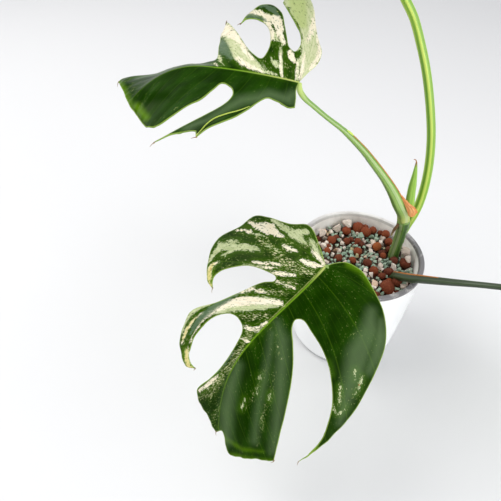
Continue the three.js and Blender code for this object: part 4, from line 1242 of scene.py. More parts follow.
@dataclass
class Foliage:
    """The four blades, with the outlines that they share and the dry threads at their tips."""

    thread_points: int = 9
    thread_length: float = 4.6
    thread_radii: Point2 = (0.42, 0.1)
    lower_left: Outline = (
        (0, 0, 1), (-5, 3), (-13, 12), (-15, 25), (-9, 42), (3, 62), (23, 78), (48, 85), (75, 90), (108, 90.5),
        (127, 87), (147, 81), (165, 72, 1),
        (149, 78), (135, 80), (121, 78), (108, 75), (96, 70), (82, 61), (69, 50), (59, 37), (52, 22), (48, 11),
        (51, 6), (58, 7), (69, 15), (83, 24), (100, 32), (127, 41), (150, 47), (174, 53, 1),
        (181, 38), (187, 27), (190, 17), (184, 10), (176, 5), (173, 1), (178, -3, 1))
    lower_right: Outline = (
        (0, 0, 1), (-11, -15), (-20, -33), (-12, -50), (-7, -70), (-1, -84), (14, -90), (35, -102), (57, -95),
        (70, -83), (73, -73, 1),
        (64, -79), (57, -77), (48, -69), (38, -56), (33, -40), (32, -29), (35, -28), (42, -36), (62, -49),
        (80, -62), (101, -79), (124, -77), (138, -68), (144, -57), (140, -47, 1),
        (136, -58), (122, -62), (105, -61), (90, -55), (80, -44), (79, -35), (85, -27), (103, -25), (120, -26),
        (137, -30), (154, -36), (163, -31), (168, -19), (174, -10), (178, -3, 1))
    upper_left: Outline = (
        (0, 0, 1), (3, 10), (4, 21), (6, 33, 1),
        (12, 34), (20, 29), (28, 27), (37, 34), (47, 45), (57, 56), (69, 67), (79, 77), (88, 91, 1),
        (88, 82, 1), (96, 80), (105, 82), (120, 88, 1),
        (107, 80), (94, 69), (80, 56), (67, 43), (61, 35), (58, 27), (60, 19), (66, 16), (74, 25), (84, 38),
        (95, 47), (107, 58), (118, 67), (126, 67), (132, 60), (137, 51), (142, 43, 1))
    upper_right: Outline = (
        (0, 0, 1), (-8, -12), (-17, -25), (-20, -38), (-18, -50), (-15, -70), (-14, -90), (-10, -104), (0, -110),
        (10, -102), (15, -86, 1),
        (9, -73), (4, -62), (0, -50), (0, -39), (5, -30), (10, -34), (12, -44), (14, -57), (17, -72), (25, -78),
        (35, -73), (46, -59), (53, -48, 1),
        (46, -53), (36, -54.5), (29, -49), (26.5, -38), (28, -27), (34, -15.5), (42, -19), (49, -27), (55, -40),
        (59, -53), (62, -67, 1),
        (65, -58), (67, -45), (69, -32), (71, -18), (78, -18), (90, -24), (102, -29), (116, -25), (132, -14),
        (147, -8), (159, -5, 1), (151, 16), (146, 32), (142, 43, 1))

    @staticmethod
    def resized(half: Outline, along: float, across: float) -> Outline:
        """Returns an outline scaled along and across the midrib."""
        return [(point[0] * along, point[1] * across, *point[2:]) for point in half]

    def lower_leaf(self) -> Blade:
        """Returns the large front leaf: green on its right half, marbled cream on its left."""
        form = BladeForm(
            joint=(-65.8, -134.2, 248), heading=-133, rise=-33, rate=-15, bank=-15, twist=0,
            fold_left=[(0, -3)], fold_right=[(0, -3)], curl_left=-22, curl_right=-24, length=178, bow=-17)
        return Blade(
            "leaf_lower_front", "leaf_a", form, self.lower_left, self.lower_right, LOWER_LEAF_MARKS,
            BladeFinish("leaf_skin_lower", seed=1.7), fleck_left=0.28, fleck_right=0.85, pale_rib=-1.0,
            dry_tips=[(165, 72), (174, 53), (73, -73), (140, -47), (178, -3)])

    def upper_leaf(self) -> Blade:
        """Returns the upper leaf: its far half is nearly all cream, its near half dark."""
        form = BladeForm(
            joint=(-95.4, -20, 352.9), heading=187, rise=14, rate=-10, bank=-12, twist=-5,
            fold_left=[(0, -8)], fold_right=[(48, 20), (85, -33), (112, -35), (158, -8)],
            curl_left=35, curl_right=-15, length=148, hook=47, hook_at=80, drop=-35, drop_at=88)
        finish = BladeFinish("leaf_skin_upper", sage=rgb(204, 206, 166), sage_dark=rgb(178, 188, 140),
                             spacing=15.0, seed=5.2, vein_show=0.09)
        return Blade(
            "leaf_upper", "leaf_c", form, self.upper_left, self.upper_right, UPPER_LEAF_MARKS, finish,
            fleck_left=0.05, fleck_right=0.6, veins=VeinPlan(spacing=15.0), foot_reach=60.0,
            dry_tips=[(62, -67), (53, -48), (120, 88), (88, 91), (159, -5)])

    @staticmethod
    def drawn_marks(seed: int, side: float, form: BladeForm, count: int, width: float) -> Marks:
        """Draws marbling along the veins of one half.

        Args:
            seed: The seed of the draws.
            side: 1 for the half to the left of the midrib, -1 for the other.
            form: The blade's form.
            count: How many streaks there are.
            width: The widest streak's half width.

        Returns:
            The markings.
        """
        draws = np.random.default_rng(seed)
        plan = VeinPlan()
        tones = (Tone.CREAM, Tone.SAGE, Tone.CREAM, Tone.SAGE, Tone.CREAM, Tone.GREY)
        marks = {}
        for index in range(count):
            origin = draws.uniform(-20, form.length * 0.85)
            first = draws.uniform(2, 45)
            last = first + draws.uniform(12, 42)
            widest = draws.uniform(0.3, 1.0) ** 1.4 * width * (1.3 if index % 6 == 1 else 1.0)
            start = plan.start_angle(np.array([origin]), form.length)[0]
            streak = []
            for far, swell in zip(np.linspace(first, last, 4), (0.3, 1.0, 0.85, 0.2)):
                angle = math.radians(start - plan.sweep * far * 0.5)
                u = max(origin, 0) + far * math.cos(angle)
                v = side * far * math.sin(angle) + form.middle(np.array([u]))[0]
                streak += (u, v, widest * swell)
            marks.setdefault(tones[index % len(tones)], []).append(streak)
        return marks

    def right_leaf(self) -> Blade:
        """Returns the drooping leaf on the right, beyond the photograph's edge."""
        form = BladeForm(
            joint=(152, -104, 196), heading=-24, rise=-8, rate=-22, bank=4, twist=6,
            fold_left=[(0, 6)], fold_right=[(0, 6)], curl_left=-30, curl_right=-26, length=155, bow=9)
        return Blade(
            "leaf_right", "leaf_b", form, self.resized(self.lower_right, 0.87, -0.87),
            self.resized(self.lower_left, 0.87, -0.87), self.drawn_marks(11, -1, form, 42, 5.0),
            BladeFinish("leaf_skin_right", seed=8.4), fleck_left=0.1, fleck_right=0.7,
            dry_tips=[(143.5, -62.6), (151.4, -46.1), (63.5, 63.5), (121.8, 40.9)])

    def top_leaf(self) -> Blade:
        """Returns the highest leaf, above the photograph's upper edge."""
        form = BladeForm(
            joint=(-55, 44, 466), heading=152, rise=6, rate=-20, bank=5, twist=4,
            fold_left=[(0, 9)], fold_right=[(0, 9)], curl_left=-26, curl_right=-30, length=187, bow=-15)
        return Blade(
            "leaf_top", "leaf_d", form, self.resized(self.lower_left, 1.05, 0.98),
            self.resized(self.lower_right, 1.05, 0.98), self.drawn_marks(23, 1, form, 54, 6.0),
            BladeFinish("leaf_skin_top", seed=12.9), fleck_left=0.7, fleck_right=0.1,
            dry_tips=[(173, 70.6), (182.7, 51.9), (76.7, -71.5), (147, -46.1)])

    def build(self) -> None:
        """Builds the four blades and the dry threads at their lobe tips."""
        threads = []
        for blade in (self.lower_leaf(), self.right_leaf(), self.upper_leaf(), self.top_leaf()):
            blade.build()
            threads += self.tip_threads(blade)
        place_piece("dry_tip_threads", joined_shells(threads), PaperyFinish(
            "dry_threads", rgb(128, 98, 62), rgb(178, 148, 104), rgb(70, 50, 32)).material())
        self.lobe_edge(self.upper_leaf())

    def tip_threads(self, blade: Blade) -> list:
        """Makes the thin withered threads at a blade's lobe tips.

        Args:
            blade: The blade that they grow on.

        Returns:
            One shell for each tip.
        """
        threads = []
        for index, tip in enumerate(blade.dry_tips):
            u, v = np.array([float(tip[0])]), np.array([float(tip[1])])
            place = blade.form.place(u, v)[0]
            along = unit(blade.form.place(u + 3, v * 1.0)[0] - place)
            normal = blade.form.normals(u, v)[0]
            bend = 1.6 if index % 2 else -1.2
            share = np.linspace(0, 1, self.thread_points)[:, None]
            side = np.cross(along, normal)
            droop = side * bend * share ** 2 - normal * 1.4 * share ** 2
            route = place - along + along * self.thread_length * share + droop
            threads.append(tube(route, np.linspace(*self.thread_radii, self.thread_points), 8))
        return threads

    @staticmethod
    def lobe_edge(blade: Blade) -> None:
        """Builds the bright raised edge where one lobe of the upper leaf lies over the next.

        Args:
            blade: The upper leaf's blade.
        """
        line = np.array([(45, 42), (54, 49.5), (65, 56.5), (74, 64), (80, 73), (84, 82), (87.5, 89.5)], float)
        flat = centripetal(line, 1.5)
        lift = 0.9 + 0.5 * np.sin(np.linspace(0, math.pi, len(flat)))
        route = blade.form.place(*flat.T) + blade.form.normals(*flat.T) * lift[:, None]
        radii = 0.48 * np.sin(np.linspace(0.25, math.pi - 0.12, len(flat))) ** 0.5
        finish = StalkFinish("lobe_edge", rgb(186, 200, 84), rgb(128, 158, 40), rgb(206, 208, 120))
        place_piece("leaf_upper_lobe_edge", tube(route, radii, 10), finish.material())


# Stalks and the small growths at the node


@dataclass
class Stalk:
    """A swept stalk or stem."""

    name: str
    node: str
    slot: str
    route: list
    radii: Keys
    finish: StalkFinish
    sides: int = 28
    step: float = 2.2
    ribs: tuple = ((0, 0),)
    rings: tuple = ()

    def centre_line(self) -> np.ndarray:
        """Returns the centre line's points, close together."""
        return centripetal(np.array(self.route, float), self.step)

    def beside(self, reach: Point2, way: Point3, off: float, gap: float = 0.0) -> np.ndarray:
        """Finds a line along the stalk's skin.

        Args:
            reach: Where it starts and ends, as shares of the centre line's points.
            way: The side of the stalk that it lies on.
            off: Its distance from the centre line, as a share of the stalk's radius.
            gap: What is added to that distance.

        Returns:
            The line's points, one in each row.
        """
        line = self.centre_line()
        share = np.linspace(0, 1, len(line))
        kept = (share > reach[0]) & (share < reach[1])
        tangents = unit(np.gradient(line, axis=0))[kept]
        out = unit(np.cross(tangents, np.cross(way, tangents)))
        return line[kept] + out * (keyed(self.radii, share)[kept] * off + gap)[:, None]

    def build(self) -> Piece:
        """Builds and dresses the stalk, and returns its object."""
        line = self.centre_line()
        share = running_lengths(line)
        share = share / share[-1]
        radii = keyed(self.radii, share)
        for place, swell, width in self.rings:
            radii = radii + swell * np.exp(-((share - place) / width) ** 2)
        shell = tube(line, radii, self.sides, self.ribs)
        return place_piece(self.name, shell, self.finish.material(), (self.node,))


@dataclass
class Stems:
    """The stem, the four leaf stalks, the new shoot and the aerial root."""

    def pieces(self) -> list:
        """Returns every stem and stalk, from the mix up."""
        # Its streaks paint a pale highlight on the front and painted shade on two other sides.
        pale = StalkFinish(
            "stalk_pale", rgb(152, 184, 96), rgb(92, 138, 44), rgb(186, 206, 112), foot=rgb(182, 194, 108),
            foot_to=0.1, streaks=(
                ((0.3, -0.93, 0.1), 0.955, 0.99, 0.42, rgb(206, 220, 176)),
                ((-0.75, -0.5, -0.4), 0.8, 0.95, 0.5, rgb(64, 108, 30)),
                ((0.95, -0.1, 0.2), 0.86, 0.96, 0.5, rgb(78, 120, 36))))
        dark = StalkFinish("stalk_dark", rgb(66, 84, 52), rgb(34, 46, 28), rgb(120, 150, 70))
        # Its streaks paint a bright highlight on the front and painted shade on two other sides.
        yellow = StalkFinish(
            "stalk_yellow", rgb(176, 206, 70), rgb(108, 158, 34), rgb(184, 204, 90), streaks=(
                ((-0.2, -0.95, 0.2), 0.93, 0.98, 0.7, rgb(212, 228, 112)),
                ((-0.75, -0.6, 0), 0.9, 0.97, 0.6, rgb(84, 134, 28)),
                ((0.5, -0.8, 0.2), 0.92, 0.98, 0.6, rgb(92, 142, 32))))
        # Its streaks paint highlights on the front left, the left and the front, and painted shade on the front
        # right.
        stem = StalkFinish(
            "stem_skin", rgb(94, 124, 42), rgb(38, 74, 14), rgb(120, 154, 70), end_from=0.97,
            foot=rgb(82, 108, 40), foot_to=0.5, streaks=(
                ((-0.55, -0.8, 0), 0.94, 0.985, 0.45, rgb(186, 200, 150)),
                ((0.22, -0.95, 0), 0.93, 0.98, 0.7, rgb(40, 78, 26)),
                ((0.7, -0.6, 0), 0.95, 0.99, 0.5, rgb(64, 106, 40)),
                ((-0.97, -0.2, 0), 0.8, 0.95, 0.35, rgb(150, 170, 118)),
                ((-0.1, -1, 0), 0.97, 0.995, 0.5, rgb(96, 134, 62))))
        shoot = StalkFinish("shoot_skin", rgb(150, 190, 72), rgb(96, 146, 38), rgb(128, 84, 40))
        root = StalkFinish("root_skin", rgb(116, 86, 52), rgb(66, 46, 28), rgb(150, 132, 90), 0.7, roughness=0.7)
        lengthwise = ((9, 0.018), (16, 0.01))
        return [
            Stalk("stem", "stem", "stem",
                  [(48, 14, 84), (46.5, 12.8, 110), (45.2, 12, 126), (45.2, 11.4, 150), (44.6, 10.8, 170),
                   (43, 10.4, 183.4)],
                  [(0, 5.8), (0.42, 6.3), (0.62, 6.1), (0.88, 6.6), (0.95, 7.4), (1, 7)], stem, 40, 1.4,
                  lengthwise, ((0.9, 0.7, 0.014), (0.68, 0.35, 0.02))),
            Stalk("stalk_lower_front", "petiole_a", "stalk",
                  [(8, -32, 92), (-4, -48, 108), (-9, -55, 124), (-11, -60, 138), (-15, -71, 154), (-23, -88, 181),
                   (-39, -111, 215), (-56, -128, 238), (-65.6, -134.6, 246.6)],
                  [(0, 3.6), (0.25, 3.4), (0.7, 2.8), (1, 2.6)], dark, ribs=lengthwise),
            Stalk("stalk_right", "petiole_b", "stalk",
                  [(38, -8, 96), (38.5, -15, 112), (40, -25.5, 128), (46.2, -38.5, 140), (50, -45.3, 146),
                   (54.9, -51.3, 152), (76, -71, 170.5), (106, -90, 188), (135, -100, 195), (151, -104, 195.4)],
                  [(0, 4.2), (0.15, 4.7), (0.34, 4.7), (0.48, 4.1), (0.7, 3), (1, 2.7)], dark, 36,
                  ribs=((4, 0.05), (9, 0.025))),
            Stalk("stalk_upper", "petiole_c", "stalk",
                  [(42.6, 10.4, 184), (40.3, 9.8, 192.4), (30.3, 7.6, 208.5), (19.9, 5.3, 225.3), (5.8, 2.2, 244.8),
                   (-10.4, -1.2, 264.5), (-24.4, -4.2, 280.7), (-46.8, -8.8, 302.6), (-66.2, -13.1, 318.2),
                   (-80.2, -16.4, 330.3), (-88.2, -18.3, 337.4), (-93.7, -19.6, 345.1), (-95.3, -20, 351.6)],
                  [(0, 6.8), (0.06, 7), (0.125, 6.8), (0.214, 5.8), (0.324, 4.7), (0.438, 4.3), (0.534, 3.7),
                   (0.64, 3.1), (0.7, 2.5), (0.8, 2.2), (0.9, 2.2), (0.95, 2.6), (1, 2.5)], pale, 36,
                  ribs=((5, 0.05), (13, 0.02))),
            Stalk("stalk_top", "petiole_d", "stalk",
                  [(45.8, 12.2, 152), (48.4, 15, 159.5), (52, 19, 168), (56.5, 20, 186), (58.5, 21, 207),
                   (56.5, 23, 241.7), (50.3, 27, 277.5), (39.9, 32, 313.2), (27.8, 37, 345.6), (17.6, 40, 367.3),
                   (4.6, 41, 390.8), (-5.7, 42, 404.1), (-17.7, 42.6, 419.3), (-31, 43.2, 437), (-45, 43.8, 455),
                   (-54, 44, 464.6)],
                  [(0, 3), (0.03, 4.8), (0.055, 5), (0.15, 4.9), (0.38, 4.4), (0.81, 3.9), (1, 3)], yellow, 34,
                  ribs=lengthwise),
            Stalk("new_shoot", "new_shoot", "stalk",
                  [(43.2, 7.8, 194), (42.8, 6.8, 203), (41.6, 6, 210), (38.5, 5, 229.3), (36.1, 5, 252.2),
                   (34.7, 6, 263.7)],
                  [(0, 3), (0.12, 4.2), (0.25, 4.9), (0.6, 4), (0.9, 1.7), (1, 0.7)], shoot, 32, 1.4,
                  ((3, 0.06), (7, 0.03))),
            Stalk("aerial_root", "aerial_root", "root",
                  [(39.4, 8.6, 181), (36.4, 6.6, 177), (33.4, 5, 171), (32, 4, 165)],
                  [(0, 1.9), (0.5, 1.7), (1, 0.9)], root, 18, 0.8, ((5, 0.08),)),
        ]

    def build(self) -> None:
        """Builds every stem and stalk."""
        for piece in self.pieces():
            piece.build()
        hook = centripetal(np.array([(34.9, 6, 261.4), (34.4, 5.8, 264.3), (33, 5.5, 266.4), (31, 5.3, 267.2)]), 0.4)
        thread = PaperyFinish("shoot_thread_skin", rgb(150, 96, 44), rgb(196, 140, 66), rgb(70, 40, 26))
        place_piece("shoot_tip_thread", tube(hook, np.linspace(0.8, 0.35, len(hook)), 10), thread.material())


@dataclass
class Sheath:
    """The dry sheath: a papery flap at the upper stalk's foot, and the withered edge that runs up from it."""

    inner: tuple = ((43, 1.2, 197.2), (39.2, 1.6, 204.5), (34.4, 2.6, 212.4), (29.4, 3.6, 219.6), (23.8, 4, 228))
    outer: tuple = ((46, -0.4, 197.2), (48.9, -0.4, 199), (49.8, 0, 206.4), (42, 1.2, 212.8), (34.2, 2.8, 218.9),
                    (25.1, 4, 227.4))
    bulge: float = 1.2
    thickness: float = 0.35
    rows: int = 40
    columns: int = 22
    edge_reach: Point2 = (0.1, 0.655)
    edge_width: float = 0.85

    def flap(self) -> Shell:
        """Makes the flap.

        Returns:
            A thin closed sheet with creases and a ragged outer edge.
        """
        rows = np.linspace(0, 1, self.rows)
        keys = np.linspace(0, 1, len(self.inner))
        inner = np.stack([np.interp(rows, keys, values) for values in np.array(self.inner, float).T], 1)
        outer = centripetal(np.array(self.outer, float), 0.5)
        outer = np.stack([np.interp(rows, np.linspace(0, 1, len(outer)), values) for values in outer.T], 1)
        ragged = 1 + 0.05 * np.sin(33 * rows + 1) + 0.04 * np.sin(71 * rows)
        across = np.linspace(0, 1, self.columns)
        sheet = inner[:, None] + (outer - inner)[:, None] * across[None, :, None] * ragged[:, None, None]
        crease = 0.3 * np.sin(19 * across[None] + 5 * rows[:, None]) * across[None]
        sheet[..., 1] -= self.bulge * np.sin(math.pi * across)[None] * (1 - rows)[:, None] ** 0.5 + crease
        sheet = sheet.reshape(-1, 3)
        count = self.rows * self.columns
        grid = np.arange(count).reshape(self.rows, self.columns)
        faces = []
        for i in range(self.rows - 1):
            for k in range(self.columns - 1):
                a, b, c, d = grid[i, k], grid[i, k + 1], grid[i + 1, k + 1], grid[i + 1, k]
                faces.append((a + count, b + count, c + count, d + count))
                faces.append((a, d, c, b))
        border = list(grid[0, :]) + list(grid[1:, -1]) + list(grid[-1, :-1][::-1]) + list(grid[1:-1, 0][::-1])
        for a, b in zip(border, border[1:] + border[:1]):
            faces.append((b + count, a + count, a, b))
        outward = sheet - (0.15 * self.thickness, self.thickness, -0.3 * self.thickness)
        grain = np.stack([np.tile(across, self.rows) * 0.3, np.zeros(count), np.repeat(rows, self.columns)], 1)
        return Shell(np.vstack([sheet, outward]), [tuple(int(corner) for corner in face) for face in faces],
                     {"grain": np.vstack([grain, grain])})

    def withered_edge(self, stalk: Stalk) -> Shell:
        """Returns the thin dry edge that runs up the right side of a stalk.

        Args:
            stalk: The stalk that it clings to.

        Returns:
            A slender closed cord that fades out at its upper end.
        """
        route = stalk.beside(self.edge_reach, (0.75, -0.25, 0.6), 0.97, 0.1)
        part = np.linspace(0, 1, len(route))
        width = self.edge_width * (1 - 0.45 * part) * (1 + 0.15 * np.sin(61 * part))
        return tube(route, width * 0.75, 10)

    def shoulder(self, stalk: Stalk) -> Shell:
        """Makes the small pale lobe where the sheath's edge ends.

        Args:
            stalk: The stalk that it sits on, over six points of its centre line.

        Returns:
            The closed lobe.
        """
        count = len(stalk.centre_line())
        middle = int(count * self.edge_reach[1])
        reach = ((middle - 2.5) / (count - 1), (middle + 3.5) / (count - 1))
        route = centripetal(stalk.beside(reach, (0.4, -0.2, 0.9), 0.8), 0.6)
        swell = np.sin(np.linspace(0.25, math.pi - 0.2, len(route))) ** 0.7
        return tube(route, 1.5 * swell, 14)

    def build(self, stalk: Stalk) -> None:
        """Builds and dresses the flap, the withered edge and its pale end.

        Args:
            stalk: The stalk that they cling to.
        """
        flap = PaperyFinish("dry_sheath_skin")
        edge = PaperyFinish("dry_edge_skin", rgb(206, 112, 66), rgb(226, 156, 104), rgb(126, 62, 40))
        shoulder = StalkFinish("sheath_shoulder", rgb(206, 222, 96), rgb(160, 192, 60))
        place_piece("dry_sheath_flap", self.flap(), flap.material(), ("dry_sheath",))
        place_piece("dry_sheath_edge", self.withered_edge(stalk), edge.material())
        place_piece("sheath_shoulder", self.shoulder(stalk), shoulder.material())


@dataclass
class BrownRidge:
    """The brown ridge along the upper edge of the right-hand stalk, where its own sheath has dried."""

    reach: Point2 = (0.1, 0.52)
    width: float = 1.15

    def build(self, stalk: Stalk) -> None:
        """Builds and dresses the ridge.

        Args:
            stalk: The stalk that it runs along.
        """
        route = stalk.beside(self.reach, (0.0, 0.15, 1.0), 0.95)
        part = np.linspace(0, 1, len(route))
        finish = PaperyFinish("brown_ridge_skin", rgb(176, 98, 44), rgb(206, 136, 70), rgb(110, 56, 28))
        shell = tube(route, self.width * np.sin(0.2 + part * 2.6) ** 0.5, 12)
        place_piece("stalk_right_ridge", shell, finish.material())


# Pots


@dataclass
class Planter:
    """The white outer planter, turned from the same profile as its solid."""

    height: float
    top_radius: float
    base_radius: float = 66.5
    swell: float = 1.6
    wall: float = 4.0
    floor: float = 6.0
    edge: float = 9.0
    lip_rise: float = 1.1
    rows: int = 26
    around: int = 160

    def radius_at(self, z: float) -> float:
        """Returns the outer radius at a height."""
        return self.base_radius + (self.top_radius - self.base_radius) * (1 - (1 - z / self.height) ** self.swell)

    def profile(self) -> np.ndarray:
        """Returns the closed profile from the base's middle to the floor's middle."""
        foot = self.radius_at(self.edge) - self.edge
        lip = self.wall / 2 - 0.2
        points = [(0.0, 0.0), (foot - 6, 0.0)]
        points += arc(foot, self.edge, self.edge, self.edge, -math.pi / 2, 0, 10)
        points += [(self.radius_at(z), z) for z in np.linspace(14, self.height - 3, self.rows)]
        points += arc(self.top_radius - lip, self.height - self.lip_rise, lip, self.lip_rise, 0, math.pi, 9)
        points += [(self.radius_at(z) - self.wall, z) for z in np.linspace(self.height - 4, 16, 10)]
        points += [(self.radius_at(self.floor) - self.wall - 8, self.floor), (0.0, self.floor)]
        return np.array(points)

    def build(self) -> None:
        """Builds and dresses the planter."""
        finish = SmoothFinish("white_glaze", rgb(250, 250, 251), rgb(248, 249, 250), roughness=0.26,
                              cloud_scale=9.0, coat=0.12, bump=0.004, wear=0.02)
        place_piece("planter", turned(self.profile(), self.around), finish.material(), ("pot_outer",))


@dataclass
class NurseryPot:
    """The grey pot that hangs in the planter: lip, thin wall, and drainage slots as in its solid."""

    lip_outer: float
    lip_top: float
    lip_foot: float
    lip_inner: float = 70.0
    top_radius: float = 69.7
    base_radius: float = 61.5
    bottom: float = 14.0
    wall: float = 1.8
    outer_round: float = 1.3
    inner_round: float = 1.2
    slots: int = 8
    slot_size: Point2 = (12.0, 16.0)
    slot_foot: float = 14.0
    columns: int = 176

    def radius_at(self, z: float) -> float:
        """Returns the wall's outer radius at a height."""
        share = (z - self.bottom) / (self.lip_top - self.bottom)
        return self.base_radius + (self.top_radius - self.base_radius) * share

    def cup(self) -> Shell:
        """Returns the pot as one closed shell, before its slots are cut."""
        outer = [(0.0, self.bottom), (self.base_radius - 8, self.bottom), (self.base_radius - 3, self.bottom),
                 (self.radius_at(self.bottom + 3), self.bottom + 3), (self.radius_at(30), 30.0)]
        outer += [(self.radius_at(z), z) for z in np.linspace(50, self.lip_foot, 6)]
        lip = [(self.lip_outer - 0.5, self.lip_foot), (self.lip_outer, self.lip_foot + 0.7),
               (self.lip_outer, self.lip_top - self.outer_round)]
        for x, size, first, last in ((self.lip_outer - self.outer_round, self.outer_round, 0.2, math.pi / 2),
                                     (self.lip_inner + 0.9, self.inner_round, math.pi / 2, math.pi)):
            lip += arc(x, self.lip_top - size, size, size, first, last, 5)
        inner = [(self.radius_at(z) - self.wall, z) for z in np.linspace(self.lip_foot - 3, 30, 8)]
        inner += [(self.radius_at(self.bottom + 3) - self.wall, self.bottom + 3),
                  (self.base_radius - 3 - self.wall, self.bottom + self.wall),
                  (self.base_radius - 8, self.bottom + self.wall), (0.0, self.bottom + self.wall)]
        return turned(np.array(outer + lip + inner), self.columns)

    def open_slots(self, piece: Piece) -> None:
        """Cuts the slots: drops the wall's faces there, outside and in, and closes the cut edges.

        Args:
            piece: The pot's object.
        """
        shape = bmesh.new()
        shape.from_mesh(piece.data)
        shape.faces.ensure_lookup_table()
        half = self.slot_size[0] / 2 / self.base_radius
        step = 2 * math.pi / self.slots
        gone = []
        for face in shape.faces:
            centre = face.calc_center_median() / MM
            turn = (math.atan2(centre.y, centre.x) - step / 2 + math.pi / self.slots) % step - math.pi / self.slots
            in_wall = math.hypot(centre.x, centre.y) > self.base_radius - 6
            if in_wall and abs(turn) < half and self.slot_foot + 0.5 < centre.z < self.slot_foot + self.slot_size[1]:
                gone.append(face)
        bmesh.ops.delete(shape, geom=gone, context="FACES")
        self.close_slots(shape, [edge for edge in shape.edges if edge.is_boundary])
        shape.normal_update()
        shape.to_mesh(piece.data)
        shape.free()

    def close_slots(self, shape: bmesh.types.BMesh, edges: list) -> None:
        """Joins each slot's outer edge loop to its inner one with a wall.

        Args:
            shape: The pot's mesh.
            edges: The open edges of all the slots.
        """
        loops = {}
        for edge in edges:
            centre = (edge.verts[0].co + edge.verts[1].co) / 2
            turn = math.atan2(centre.y, centre.x) % (2 * math.pi)
            loops.setdefault(int(turn / (2 * math.pi / self.slots)), []).append(edge)
        for group in loops.values():
            bmesh.ops.bridge_loops(shape, edges=group)

    def build(self) -> None:
        """Builds and dresses the pot."""
        finish = PotPlasticFinish("grey_plastic", lip_level=(self.lip_top - 3.0) * MM)
        piece = place_piece("nursery_pot", self.cup(), finish.material(), ("nursery_pot",))
        self.open_slots(piece)


# Potting mix


class Mineral(Enum):
    """The kinds of grain in the mix."""

    CLAY = "clay_balls"
    PUMICE = "pumice_chips"
    ZEOLITE = "zeolite_chips"


@dataclass(frozen=True)
class GrainSpot:
    """A grain's kind, place on the bed and mean radius, in millimetres."""

    kind: Mineral
    x: float
    y: float
    z: float
    radius: float


